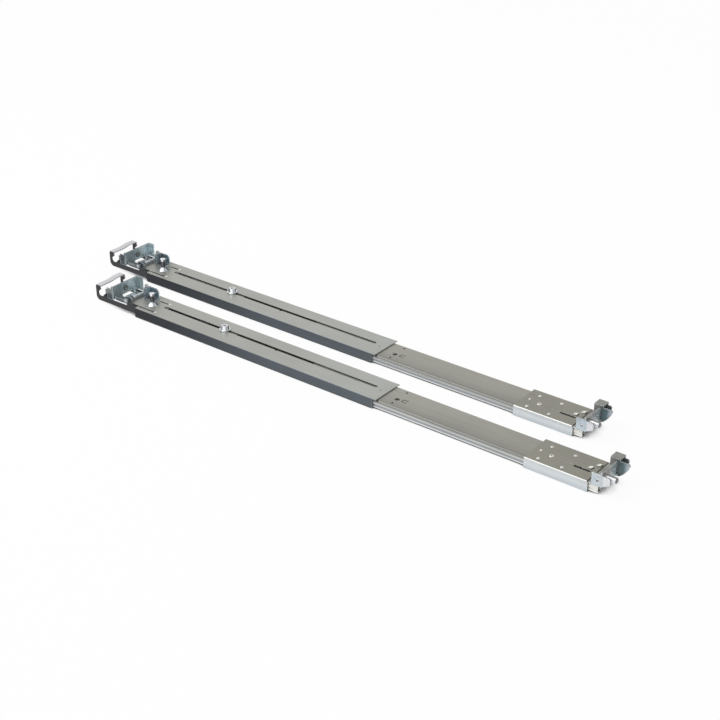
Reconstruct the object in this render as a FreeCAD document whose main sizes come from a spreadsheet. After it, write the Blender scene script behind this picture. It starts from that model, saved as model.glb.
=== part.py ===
# Pair of sliding server rails: two telescopic ball-bearing slides, each with a wide rear section that
# slides over it to suit the depth of the rack, and zinc-plated brackets that seat on the rack posts.
#
# Frame of one rail: X runs from the tail to the front post, Y across the rail, Z up from the floor.
# The outward (post) face of the rail looks up, as the rail lies on a bench.
import FreeCAD
import Part
import Sketcher
import math
import os

doc = FreeCAD.newDocument("ServerRails")
Vector = FreeCAD.Vector

# ---------------------------------------------------------------------------------------------
# Driving dimensions, in millimetres: alias, value, meaning
# ---------------------------------------------------------------------------------------------
SIZES = [
    # the pair and the rack
    ("rail_width", 44.0, "width of the rear section, one rack unit less its play"),
    ("hole_pitch", 15.875, "pitch of the square holes in a rack post"),
    ("hole_line_z", 20.3, "height of the row of post holes above the floor"),
    ("pair_shift_x", 62.6, "how far rail b lies ahead of rail a"),
    ("pair_shift_y", -80.6, "how far rail b lies beside rail a"),
    ("running_gap", 0.05, "radial play of pins in their holes"),
    ("side_gap", 0.3, "play between parts that slide past each other"),
    # rear section
    ("rear_x", 68.0, "rear end of the rear section"),
    ("rear_length", 362.0, "length of the rear section"),
    ("rear_sheet", 1.2, "sheet of the rear section"),
    ("rear_bend", 1.6, "outside bend radius of the rear section"),
    ("web_z", 12.3, "top face of the rear section"),
    ("rear_depth", 11.3, "depth of the rear section's flanges"),
    ("rear_relief", 4.7, "length of web ahead of the flanges"),
    ("tongue_x", 46.0, "rear end of the web's tongue"),
    ("tongue_inset", 7.6, "distance of the tongue from the rail's side"),
    ("slot_x", 95.0, "rear end of the adjusting slot"),
    ("slot_length", 319.4, "length of the adjusting slot"),
    ("slot_width", 4.3, "width of the adjusting slot"),
    ("slot_y", 23.9, "centre line of the adjusting slot"),
    ("slit_width", 2.0, "width of the short slits at the rear"),
    ("near_slit_y", 6.5, "centre line of the near slit"),
    ("near_slit_x", 69.0, "rear end of the near slit"),
    ("near_slit_length", 24.8, "length of the near slit"),
    ("far_slit_y", 32.0, "centre line of the far slit"),
    ("far_slit_x", 79.0, "rear end of the far slit"),
    ("far_slit_length", 14.0, "length of the far slit"),
    ("notch_radius", 1.6, "half-round notch beside the adjusting slot"),
    ("notch_one_x", 273.3, "first notch"),
    ("notch_two_x", 387.3, "second notch"),
    ("dimple_x", 421.5, "small stop pressed up near the front of the rear section"),
    ("dimple_y", 20.7, "the stop across the rail"),
    ("dimple_radius", 1.5, "foot of a pressed dimple"),
    ("dimple_height", 0.5, "height of a pressed dimple"),
    # rear bracket
    ("rear_post_x", 29.4, "face of the rear bracket that meets the post"),
    ("bracket_sheet", 1.4, "sheet of both brackets"),
    ("bracket_bend", 2.4, "outside bend radius of both brackets"),
    ("rear_bracket_inset", 0.3, "distance of the rear bracket from the rail's side"),
    ("rear_bracket_z", 11.5, "lower edge of the rear bracket's cheeks"),
    ("rear_bracket_height", 17.3, "height of the rear bracket's plate"),
    ("near_cheek_length", 9.8, "length of the near cheek, behind the plate"),
    ("near_cheek_height", 14.0, "height of the near cheek"),
    ("far_cheek_length", 9.6, "length of the far cheek, ahead of the plate"),
    ("rear_base_front", 99.0, "front end of the rear bracket's base"),
    ("rear_base_inset", 6.0, "distance of the base from the rail's side"),
    ("window_y", 16.5, "near edge of the window in the rear bracket"),
    ("window_width", 19.5, "width of the window"),
    ("window_z", 8.8, "lower edge of the window"),
    ("window_height", 4.6, "height of the window"),
    ("apron_z", 3.0, "lower edge of the apron below the window"),
    ("apron_y", 24.0, "near edge of the apron"),
    ("apron_width", 15.0, "width of the apron"),
    ("screw_hole_radius", 1.65, "hole for the locking screw in both brackets"),
    ("pin_radius", 3.1, "locating stud"),
    ("rear_pin_length", 5.0, "length of the rear studs"),
    ("front_pin_length", 12.5, "length of the front stud"),
    ("pin_chamfer", 1.0, "lead of the locating studs"),
    # tail bail
    ("bail_x", 0.5, "rear end of the tail bail"),
    ("bail_sheet", 1.5, "sheet of the tail bail"),
    ("bail_z", 4.3, "lower edge of the bail's arms"),
    ("bail_height", 6.0, "height of the bail's arms"),
    ("bail_front", 90.0, "front end of the bail's arms, inside the rear section"),
    ("bail_leg", 3.4, "width of the bail's upright legs"),
    ("bail_flare_z", 15.5, "where the legs start to widen towards the bridge"),
    ("bail_bridge", 7.6, "width of the strap across the top"),
    ("joggle_start", 17.0, "start of the strap's step across the rail"),
    ("joggle_end", 33.0, "end of the strap's step"),
    ("joggle_rise", 1.8, "height of the strap's step"),
    ("bail_top", 23.8, "top of the bail"),
    ("bail_corner", 6.0, "outside radius at the foot of the bail's legs"),
    ("bail_inner_corner", 3.0, "inside radius at the foot of the bail's legs"),
    ("bail_fin_x", 15.4, "tip of the small fin on each arm"),
    ("bail_fin_top", 15.0, "top of the fin"),
    ("bail_fin_base", 4.5, "half length of the fin at its foot"),
    ("bail_rise_x", 53.0, "start of the raised part of each arm"),
    ("bail_rise_length", 11.0, "length of the raised part"),
    ("bail_rise_height", 6.0, "height of the raised part"),
    # rear latch
    ("shaft_x", 50.0, "axis of the rear latch along the rail"),
    ("shaft_z", 15.3, "axis of the rear latch above the floor"),
    ("shaft_radius", 2.0, "rear latch shaft"),
    ("shaft_y", 2.9, "near end of the shaft and near face of the hook"),
    ("shaft_length", 37.0, "length of the shaft"),
    ("ear_rear", 3.2, "length of the shaft's ears behind its axis"),
    ("ear_front", 8.4, "length of the ears ahead of the axis"),
    ("ear_rise", 5.2, "height of the ears above the axis"),
    ("ear_corner", 2.0, "rounded corners of the ears"),
    ("hook_sheet", 1.4, "thickness of the rear hook"),
    ("hook_x", 15.4, "tip of the rear hook"),
    ("hook_arm_z", 12.8, "lower edge of the hook's arm"),
    ("hook_arm_height", 3.4, "height of the hook's arm"),
    ("hook_tip_length", 2.2, "length of the hook's tooth"),
    ("hook_tip_height", 8.4, "height of the hook's tooth"),
    ("hook_boss_radius", 3.4, "boss of the hook round the shaft"),
    ("knob_radius", 3.2, "round thumb piece of the rear latch"),
    ("knob_rise", 6.0, "height of the thumb piece above the shaft"),
    ("knob_gap", 0.3, "gap between the thumb piece and the far ear"),
    # release plunger and its guard
    ("release_x", 78.0, "release plunger along the rail"),
    ("release_y", 20.5, "release plunger across the rail"),
    ("release_stem_radius", 1.9, "stem of the release plunger"),
    ("release_stem_z", 9.0, "lower end of the stem"),
    ("release_top_z", 27.0, "top of the plunger's cap"),
    ("release_cap_radius", 3.3, "cap of the plunger"),
    ("release_cap_height", 2.6, "height of the cap"),
    ("release_flange_radius", 6.8, "flange of the plunger's bush"),
    ("release_flange_height", 3.0, "height of the bush"),
    ("guard_x", 58.0, "rear end of the latch guard"),
    ("guard_length", 16.5, "length of the latch guard"),
    ("guard_height", 13.0, "height of the latch guard"),
    ("guard_y", 34.6, "near face of the guard's plate"),
    ("guard_depth", 9.0, "length of the guard's folded end"),
    ("guard_corner", 5.0, "rounded corner of the guard"),
    ("guard_hole_radius", 1.0, "small holes in the guard"),
    ("front_guard_hole", 0.72, "share of the guard's length to its front hole"),
    ("front_guard_rise", 0.62, "share of the guard's height to its front hole"),
    ("rear_guard_hole", 0.45, "share of the guard's length to its rear hole"),
    ("rear_guard_rise", 0.5, "share of the guard's height to its rear hole"),
    # rivets and the guide bolt
    ("rivet_radius", 2.1, "head of a rivet"),
    ("rivet_height", 0.8, "height of a rivet head"),
    ("rivet_shank", 1.2, "shank of a rivet"),
    ("guide_bolt_x", 193.1, "guide bolt along the rail"),
    ("guide_shank_radius", 2.0, "shank of the guide bolt in the slot"),
    ("guide_head_radius", 5.2, "head of the guide bolt"),
    ("guide_head_height", 4.6, "height of the guide bolt's head"),
    ("guide_head_taper", 0.72, "top radius of the guide bolt's head over its foot"),
    ("guide_washer_radius", 6.4, "collar under the guide bolt's head"),
    ("guide_washer_height", 1.0, "height of the collar"),
    # outer member of the slide
    ("slide_x", 182.0, "rear end of the outer member"),
    ("slide_length", 512.0, "length of the outer member"),
    ("slide_sheet", 1.2, "sheet of the outer member"),
    ("slide_top_z", 10.8, "top face of the outer member"),
    ("slide_bottom_z", 1.7, "lower edge of the outer member"),
    ("slide_flat", 16.2, "half width of the outer member's flat web"),
    ("slide_half", 20.2, "half width of the outer member at its races"),
    ("race_bulge", 0.75, "depth of the races pressed into the outer member"),
    ("race_radius", 2.7, "inside radius of the outer member's races"),
    ("shoulder_radius", 2.8, "inside radius of the outer member's shoulders"),
    ("lip_half", 19.7, "half width of the outer member at its lips"),
    ("slide_window_x", 210.0, "rear end of the long window under the adjusting slot"),
    ("slide_window_length", 117.0, "length of the long window"),
    ("slide_window_half", 6.0, "half width of the long window"),
    ("tool_hole_x", 446.0, "row of tooling holes"),
    ("tool_hole_radius", 2.7, "large tooling hole"),
    ("tool_hole_y", 17.3, "large tooling hole across the rail"),
    ("small_hole_radius", 1.25, "small tooling holes"),
    ("small_hole_near_y", 8.5, "near tooling hole"),
    ("small_hole_far_y", 34.8, "far tooling hole"),
    ("lance_x", 451.8, "rear edge of the lanced tab ahead of the rear section"),
    ("lance_y", 16.0, "near edge of the lanced tab"),
    ("lance_length", 6.4, "length of the slit round the tab"),
    ("lance_width", 5.6, "width over the slit"),
    ("lance_slit", 1.0, "width of the slit"),
    # balls and races
    ("outer_ball_radius", 1.6, "outer balls"),
    ("outer_ball_z", 6.1, "height of the outer balls"),
    ("inner_ball_radius", 1.2, "inner balls"),
    ("inner_ball_z", 4.1, "height of the inner balls"),
    ("race_gap", 0.08, "play of a ball in its races"),
    ("race_ease", 0.3, "how much a race's radius exceeds the ball's"),
    ("balls_per_row", 8, "balls in each row"),
    ("cage_x", 319.0, "rear end of the ball cages"),
    ("cage_length", 234.0, "length of the ball cages"),
    ("cage_reach", 2.6, "how far a cage reaches below its balls' centres"),
    ("cage_bevel", 1.5, "bevel between a cage's web and sides"),
    ("cage_sheet", 0.5, "sheet of the ball cages"),
    ("cage_gap", 0.25, "gap above and below a cage's web"),
    # intermediate and inner members
    ("middle_x", 189.0, "rear end of the intermediate member"),
    ("middle_length", 491.0, "length of the intermediate member"),
    ("middle_sheet", 1.2, "web of the intermediate member"),
    ("middle_half", 16.4, "half width of the intermediate member"),
    ("middle_leg", 2.4, "legs of the intermediate member"),
    ("middle_bottom_z", 2.1, "lower edge of the intermediate member"),
    ("leg_bevel", 0.8, "bevel on the shoulders of the intermediate member"),
    ("inner_bevel", 1.0, "bevel on the edges of the inner member's legs"),
    ("inner_bend", 1.5, "outside bend radius of the inner member"),
    ("inner_x", 190.0, "rear end of the inner member"),
    ("inner_length", 503.0, "length of the inner member"),
    ("inner_sheet", 1.2, "web of the inner member"),
    ("inner_half", 12.5, "half width of the inner member"),
    ("inner_leg", 1.5, "legs of the inner member"),
    ("server_hole_radius", 2.75, "holes that fasten the server"),
    ("server_hole_x", 240.0, "first server hole"),
    ("server_hole_pitch", 150.0, "pitch of the server holes"),
    ("server_hole_count", 3.0, "server holes down the inner member"),
    ("bumper_length", 5.0, "length of the stop bumper"),
    ("bumper_half", 8.0, "half width of the stop bumper"),
    ("bumper_height", 6.4, "height of the stop bumper"),
    # catch of the inner member
    ("lever_pivot_x", 630.0, "pivot of the lock lever"),
    ("lever_length", 62.0, "length of the lock lever behind its pivot"),
    ("lever_nose", 18.0, "length of the lock lever ahead of its pivot"),
    ("lever_half", 3.6, "half width of the lock lever"),
    ("lever_sheet", 1.0, "sheet of the lock lever"),
    ("lever_pin_radius", 1.8, "pivot pin of the lock lever"),
    ("lever_head_radius", 2.7, "head of the lock lever's pin"),
    # front cover plate
    ("cover_x", 612.5, "rear end of the cover plate"),
    ("cover_length", 70.0, "length of the cover plate"),
    ("cover_sheet", 1.4, "sheet of the cover plate"),
    ("cover_half", 21.9, "half width of the cover plate"),
    ("cover_bend", 2.0, "outside bend radius of the cover plate"),
    ("cover_flange_length", 71.2, "length of the cover plate's flanges"),
    ("cover_rivet_rear", 12.6, "rear row of the cover's rivets, from its rear end"),
    ("cover_rivet_front", 39.2, "front row of the cover's rivets"),
    ("cover_rivet_near", 15.4, "near row of rivets, from the rail's centre line"),
    ("cover_rivet_far", 11.2, "far row of rivets"),
    ("base_rivet_x", 6.0, "rivets of the front bracket, from its base's rear end"),
    ("base_rivet_y", 3.0, "near rivet of the front bracket, beyond the near stud's line"),
    ("tongue_length", 6.4, "length of the two tongues lanced from the cover plate"),
    ("tongue_width", 4.2, "width of the tongues"),
    ("tongue_rise", 1.3, "how far the tongues stand up"),
    ("tongue_sheet", 0.9, "thickness of the tongues"),
    ("near_tongue_x", 669.8, "root of the near tongue"),
    ("near_tongue_y", 21.2, "near edge of the near tongue"),
    ("far_tongue_x", 674.6, "root of the far tongue"),
    ("far_tongue_y", 29.6, "near edge of the far tongue"),
    ("boss_x", 633.3, "pressed boss of the cover plate along the rail"),
    ("boss_y", 18.3, "pressed boss across the rail"),
    ("boss_radius", 2.6, "pressed boss"),
    ("boss_hole_radius", 0.9, "hole in the pressed boss"),
    ("cover_dimple_x", 619.7, "dimple behind the boss"),
    ("cover_dimple_y", 21.2, "dimple across the rail"),
    ("spring_slot_x", 658.6, "rear end of the spring's slot"),
    ("spring_slot_length", 18.9, "length of the spring's slot"),
    ("spring_slot_width", 3.4, "width of the spring's slot"),
    ("spring_slot_y", 17.0, "centre line of the spring's slot"),
    ("groove_x", 645.2, "rear end of the narrow slit behind the spring"),
    ("groove_width", 1.0, "width of the narrow slit"),
    # front bracket
    ("front_base_x", 683.9, "rear end of the front bracket's base"),
    ("front_post_x", 699.0, "face of the front bracket that meets the post"),
    ("front_ear_x", 687.0, "rear end of the near ear"),
    ("front_ear_height", 12.1, "height of the near ear above the base"),
    ("front_plate_height", 14.8, "height of the front plate above the base"),
    ("front_plate_width", 27.0, "width of the front plate"),
    ("prong_length", 7.6, "length of the near prong"),
    ("prong_height", 11.3, "height of the near prong at its root"),
    ("prong_z", 12.0, "lower edge of the near prong at its root"),
    ("prong_flat", 1.0, "length of the straight part of that edge"),
    ("prong_tip_z", 15.4, "lower corner of the prong's tip"),
    ("prong_round", 2.0, "rounded upper corner of the tip"),
    # front latch
    ("latch_x", 690.5, "rear face of the front latch"),
    ("latch_length", 10.7, "length of the latch's box"),
    ("latch_y", 29.7, "near face of the latch"),
    ("latch_width", 11.3, "width of the latch"),
    ("latch_z", 14.0, "lower edge of the latch"),
    ("latch_top_z", 28.3, "top of the latch"),
    ("latch_sheet", 1.2, "sheet of the latch"),
    ("near_hook_length", 10.6, "length of the latch's near hook ahead of its box"),
    ("near_hook_top_z", 26.3, "upper edge of the near hook"),
    ("far_hook_length", 4.4, "length of the far hook"),
    ("far_hook_top_z", 24.8, "upper edge of the far hook"),
    ("hook_low_z", 9.4, "lower end of both hooks"),
    ("hook_foot", 1.8, "length of the hooks' lower ends"),
    ("hook_round", 2.2, "rounded upper corner of the hooks"),
    ("hook_sweep", 28.0, "radius of the hooks' leading edges"),
    ("latch_pin_x", 693.6, "pivot pin of the latch along the rail"),
    ("latch_pin_z", 16.8, "pivot pin of the latch above the floor"),
    ("latch_pin_radius", 1.4, "pivot pin of the latch"),
    ("lug_half", 2.8, "half length of the lugs that carry the pin"),
    # springs
    ("wire_radius", 0.35, "wire of the springs"),
    ("coil_radius", 1.1, "front latch spring, to the middle of its wire"),
    ("plunger_coil_radius", 2.6, "plunger spring, to the middle of its wire"),
    ("shaft_coil_radius", 2.5, "rear latch spring, to the middle of its wire"),
    ("shaft_coil_length", 6.0, "length of the rear latch spring"),
    ("short_coil_turns", 5.0, "turns of the two rear springs"),
    ("long_coil_turns", 10.0, "turns of the front latch spring"),
]

sheet = doc.addObject("Spreadsheet::Sheet", "Sizes")
for row, (alias, value, meaning) in enumerate(SIZES, start=1):
    sheet.set("A%d" % row, meaning)
    sheet.set("B%d" % row, str(value))
    sheet.setAlias("B%d" % row, alias)
doc.recompute()


class Size:
    """A length that knows its present value and the expression that binds it to the sheet."""

    def __init__(self, value, text):
        self.value = float(value)
        self.text = text

    def join(self, other, sign, value, swap=False):
        other = as_size(other)
        first, second = (other, self) if swap else (self, other)
        return Size(value(first.value, second.value), "(%s %s %s)" % (first.text, sign, second.text))

    def __add__(self, other):
        return self.join(other, "+", lambda a, b: a + b)

    def __radd__(self, other):
        return self.join(other, "+", lambda a, b: a + b, swap=True)

    def __sub__(self, other):
        return self.join(other, "-", lambda a, b: a - b)

    def __rsub__(self, other):
        return self.join(other, "-", lambda a, b: a - b, swap=True)

    def __mul__(self, other):
        return self.join(other, "*", lambda a, b: a * b)

    def __rmul__(self, other):
        return self.join(other, "*", lambda a, b: a * b, swap=True)

    def __truediv__(self, other):
        return self.join(other, "/", lambda a, b: a / b)

    def __neg__(self):
        return self * -1


def as_size(number):
    """A plain number as a Size; a Size as it is."""
    return number if isinstance(number, Size) else Size(number, repr(float(number)))


class Namespace:
    """The named sizes as attributes."""


s = Namespace()
for alias, value, meaning in SIZES:
    setattr(s, alias, Size(value, "Sizes." + alias))

# worked-out sizes that several pieces share
centre_y = s.rail_width / 2
base_top_z = s.web_z - s.rear_sheet                     # the rear bracket's base lies under the web
base_z = base_top_z - s.bracket_sheet
web_under_z = s.slide_top_z - s.slide_sheet
outer_cage_top_z = web_under_z - s.cage_gap
middle_top_z = outer_cage_top_z - s.cage_sheet - s.cage_gap
inner_cage_top_z = middle_top_z - s.middle_sheet - s.cage_gap
inner_leg_top_z = inner_cage_top_z - s.cage_sheet - s.cage_gap
race_half = s.slide_half - s.slide_sheet
outer_ball_half = race_half - s.race_gap - s.outer_ball_radius
middle_groove_half = outer_ball_half - s.outer_ball_radius - s.race_gap
inner_race_half = middle_groove_half - s.middle_sheet + s.race_gap
inner_ball_half = inner_race_half - s.race_gap - s.inner_ball_radius
inner_groove_half = inner_ball_half - s.inner_ball_radius - s.race_gap
bracket_top_z = s.slide_top_z + s.bracket_sheet         # top of the front bracket's base
near_hole_y = centre_y - s.hole_pitch
far_hole_y = centre_y + s.hole_pitch
latch_front = s.latch_x + s.latch_length                # front edge of the latch's box
origin_x = (s.bail_x + latch_front + s.near_hook_length + s.pair_shift_x) / 2
origin_y = (s.rail_width + s.pair_shift_y) / 2


# ---------------------------------------------------------------------------------------------
# Building helpers: every size goes in as an expression
# ---------------------------------------------------------------------------------------------
def bind(piece, **properties):
    """Bind properties of an object to expressions; x, y and z mean its place."""
    for name, wanted in properties.items():
        path = "Placement.Base." + name if name in ("x", "y", "z") else name
        piece.setExpression(path, as_size(wanted).text)
    return piece


def box(name, x, y, z, length, width, height):
    piece = doc.addObject("Part::Box", name)
    return bind(piece, x=x, y=y, z=z, Length=length, Width=width, Height=height)


AXES = {
    "x": FreeCAD.Rotation(Vector(0, 1, 0), 90),
    "y": FreeCAD.Rotation(Vector(1, 0, 0), -90),
    "z": FreeCAD.Rotation(),
}


def cylinder(name, axis, x, y, z, radius, height):
    piece = doc.addObject("Part::Cylinder", name)
    piece.Placement.Rotation = AXES[axis]
    return bind(piece, x=x, y=y, z=z, Radius=radius, Height=height)


def cone(name, axis, x, y, z, radius, end_radius, height):
    piece = doc.addObject("Part::Cone", name)
    piece.Placement.Rotation = AXES[axis]
    return bind(piece, x=x, y=y, z=z, Radius1=radius, Radius2=end_radius, Height=height)


def ball(name, x, y, z, radius):
    return bind(doc.addObject("Part::Sphere", name), x=x, y=y, z=z, Radius=radius)


def fuse(name, pieces):
    piece = doc.addObject("Part::MultiFuse", name)
    piece.Shapes = pieces
    piece.Refine = True
    return piece


def cut(name, base, tools):
    piece = doc.addObject("Part::Cut", name)
    piece.Base = base
    piece.Tool = tools[0] if len(tools) == 1 else fuse(name + "Tools", tools)
    piece.Refine = True
    return piece


def compound(name, pieces):
    piece = doc.addObject("Part::Compound", name)
    piece.Links = pieces
    return piece


def rounded(name, base, radius, wanted):
    """Part::Fillet on the edges that the test wanted picks by their two end points."""
    doc.recompute()
    picked = []
    for number, edge in enumerate(base.Shape.Edges, start=1):
        ends = [vertex.Point for vertex in edge.Vertexes]
        if len(ends) == 2 and wanted(ends[0], ends[1]):
            picked.append((number, radius.value, radius.value))
    piece = doc.addObject("Part::Fillet", name)
    piece.Base = base
    piece.Edges = picked
    return piece


def runs_along(axis, low=None, high=None, **places):
    """A test for straight edges along one axis that lie at the given places."""
    def test(first, second):
        span = second - first
        others = [abs(getattr(span, other)) for other in "xyz" if other != axis]
        if max(others) > 1e-6 or abs(getattr(span, axis)) < 1e-6:
            return False
        return all(
            any(abs(getattr(first, name) - as_size(place).value) < 1e-4 for place in wanted)
            for name, wanted in places.items())
    return test


PLANES = {"x": "YZ_Plane", "y": "XZ_Plane", "z": "XY_Plane"}


def pad(name, axis, start, length, outline):
    """A Body whose Pad runs along an axis. The outline is a loop of (u, v) corners, in which
    (u, v, radius, side) ends an arc of that radius, bulging to the left (1) or right (-1)."""
    body = doc.addObject("PartDesign::Body", name)
    plane = [part for part in body.Origin.OriginFeatures if part.Role == PLANES[axis]][0]
    sketch = body.newObject("Sketcher::SketchObject", name + "Sketch")
    sketch.AttachmentSupport = (plane, "")
    sketch.MapMode = "FlatFace"
    offset = -(as_size(start) + length) if axis == "y" else as_size(start)
    sketch.setExpression("AttachmentOffset.Base.z", offset.text)
    corners = [tuple(as_size(part) for part in corner[:2]) for corner in outline]
    count = len(outline)
    for number, corner in enumerate(outline):
        first = flat_point(corners[number - 1])
        second = flat_point(corners[number])
        if len(corner) == 2:
            sketch.addGeometry(Part.LineSegment(first, second))
        else:
            sketch.addGeometry(arc_between(first, second, as_size(corner[2]).value, corner[3]))
    for number, corner in enumerate(outline):
        following = (number + 1) % count
        swapped = len(corner) == 4 and corner[3] > 0
        follow_swapped = len(outline[following]) == 4 and outline[following][3] > 0
        end_place = 1 if swapped else 2
        start_place = 2 if follow_swapped else 1
        sketch.addConstraint(Sketcher.Constraint("Coincident", number, end_place, following, start_place))
        for kind, part in zip(("DistanceX", "DistanceY"), corners[number]):
            place = sketch.addConstraint(Sketcher.Constraint(kind, number, end_place, part.value))
            sketch.setExpression("Constraints[%d]" % place, part.text)
        if len(corner) == 4:
            place = sketch.addConstraint(Sketcher.Constraint("Radius", number, as_size(corner[2]).value))
            sketch.setExpression("Constraints[%d]" % place, as_size(corner[2]).text)
    feature = body.newObject("PartDesign::Pad", name + "Pad")
    feature.Profile = sketch
    feature.setExpression("Length", as_size(length).text)
    return body


def flat_point(corner):
    return Vector(corner[0].value, corner[1].value, 0)


def arc_between(first, second, radius, side):
    """The short arc from one point to another, bulging to the left (1) or right (-1) of the way."""
    chord = second - first
    outward = Vector(-chord.y, chord.x, 0).normalize() * side
    rise = math.sqrt(max(radius * radius - chord.Length * chord.Length / 4, 0.0))
    centre = (first + second) * 0.5 - outward * rise
    angles = [math.atan2(point.y - centre.y, point.x - centre.x) for point in (first, second)]
    if side > 0:
        angles.reverse()
    if angles[1] < angles[0]:
        angles[1] += 2 * math.pi
    return Part.ArcOfCircle(Part.Circle(centre, Vector(0, 0, 1), radius), angles[0], angles[1])


def root(number):
    return Size(math.sqrt(number.value), "sqrt(%s)" % number.text)


def groove_reach(radius, depth):
    """Half the opening of a round groove of a given radius and depth."""
    return root(2 * radius * depth - depth * depth)


def mirrored(half):
    """A closed outline across the rail from the corners of its far half, given as half widths."""
    far = [(centre_y + corner[0],) + tuple(corner[1:]) for corner in half]
    near = []
    for number in range(len(half) - 1, -1, -1):
        arc = tuple(half[number + 1][2:]) if number + 1 < len(half) else ()
        near.append((centre_y - half[number][0], half[number][1]) + arc)
    return far + near


def channel(name, x, length, half, top, depth, gauge, bend):
    """Bent sheet channel that opens downward."""
    low = top - depth
    return pad(name, "x", x, length, mirrored([
        (half - bend, top), (half, top - bend, bend, 1), (half, low), (half - gauge, low),
        (half - gauge, top - bend), (half - bend, top - gauge, bend - gauge, -1)]))


def slot(name, x, y, z, length, width, height):
    """A cutter with round ends, from x to x + length along the rail."""
    radius = width / 2
    return fuse(name, [
        box(name + "Middle", x + radius, y - radius, z, length - width, width, height),
        cylinder(name + "Rear", "z", x + radius, y, z, radius, height),
        cylinder(name + "Front", "z", x + length - radius, y, z, radius, height)])


def coil(name, axis, x, y, z, radius, length, turns):
    """A coil spring of round wire with plain ends, centred on the line through x, y, z."""
    helix = Part.makeHelix(length.value / turns.value, length.value, radius.value)
    start = helix.Edges[0]
    place = start.valueAt(start.FirstParameter)
    section = Part.Wire(Part.makeCircle(s.wire_radius.value, place, start.tangentAt(start.FirstParameter)))
    wire = Part.Wire(helix.Edges).makePipeShell([section], True, True)
    wire.rotate(Vector(), AXES[axis].Axis, math.degrees(AXES[axis].Angle))
    wire.translate(Vector(x.value, y.value, z.value))
    piece = doc.addObject("Part::Feature", name + "Wire")
    piece.Shape = wire
    return compound(name, [piece])


# ---------------------------------------------------------------------------------------------
# Rear section and what is fixed to it
# ---------------------------------------------------------------------------------------------
def rear_section():
    """Wide channel with the adjusting slot; its web ends in a tongue over the bracket's base."""
    shell = channel("RearChannel", s.rear_x, s.rear_length, centre_y, s.web_z, s.rear_depth,
                    s.rear_sheet, s.rear_bend)
    tongue = box("RearTongue", s.tongue_x, s.tongue_inset, base_top_z,
                 s.rear_x - s.tongue_x, s.rail_width - 2 * s.tongue_inset, s.rear_sheet)
    front = s.rear_x + s.rear_length
    relief = box("RearRelief", front - s.rear_relief, 0, 0, s.rear_relief, s.rail_width,
                 s.web_z - s.rear_bend)
    dimple = cone("WebDimple", "z", s.dimple_x, s.dimple_y, s.web_z, s.dimple_radius,
                  s.dimple_radius - s.dimple_height, s.dimple_height)
    cutters = [relief] + web_slots() + [
        cylinder("ReleaseHole", "z", s.release_x, s.release_y, base_top_z,
                 s.release_stem_radius + s.running_gap, s.rear_sheet)]
    for x in (s.notch_one_x, s.notch_two_x):
        cutters.append(cylinder("Notch", "z", x, s.slot_y - s.slot_width / 2, base_top_z,
                                s.notch_radius, s.rear_sheet))
    for x, y in rear_rivet_places():
        cutters.append(cylinder("RivetHole", "z", x, y, base_top_z, s.rivet_shank, s.rear_sheet))
    return cut("RearSection", fuse("RearBlank", [shell, tongue, dimple]), cutters)


def web_slots():
    """The adjusting slot and the two short slits, through the web and the bracket's base."""
    return [
        slot("AdjustingSlot", s.slot_x, s.slot_y, 0, s.slot_length, s.slot_width, s.web_z),
        slot("NearSlit", s.near_slit_x, s.near_slit_y, 0, s.near_slit_length, s.slit_width, s.web_z),
        slot("FarSlit", s.far_slit_x, s.far_slit_y, 0, s.far_slit_length, s.slit_width, s.web_z)]


def rear_rivet_places():
    """Just ahead of the two slits."""
    return [
        (s.near_slit_x + s.near_slit_length + s.rivet_radius, s.near_slit_y + s.rivet_shank),
        (s.far_slit_x + s.far_slit_length + s.rivet_radius, s.far_slit_y + s.rivet_shank)]


def rivets(name, places, under, thickness):
    """Round-headed rivets whose heads sit on the sheet above."""
    solids = []
    for x, y in places:
        shank = cylinder(name + "Shank", "z", x, y, under, s.rivet_shank, thickness)
        head = cone(name + "Head", "z", x, y, under + thickness, s.rivet_radius,
                    s.rivet_radius - s.rivet_height, s.rivet_height)
        solids.append(fuse(name + "One", [shank, head]))
    return compound(name, solids)


def rear_rivets():
    return rivets("RearRivets", rear_rivet_places(), base_z, s.rear_sheet + s.bracket_sheet)


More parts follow.
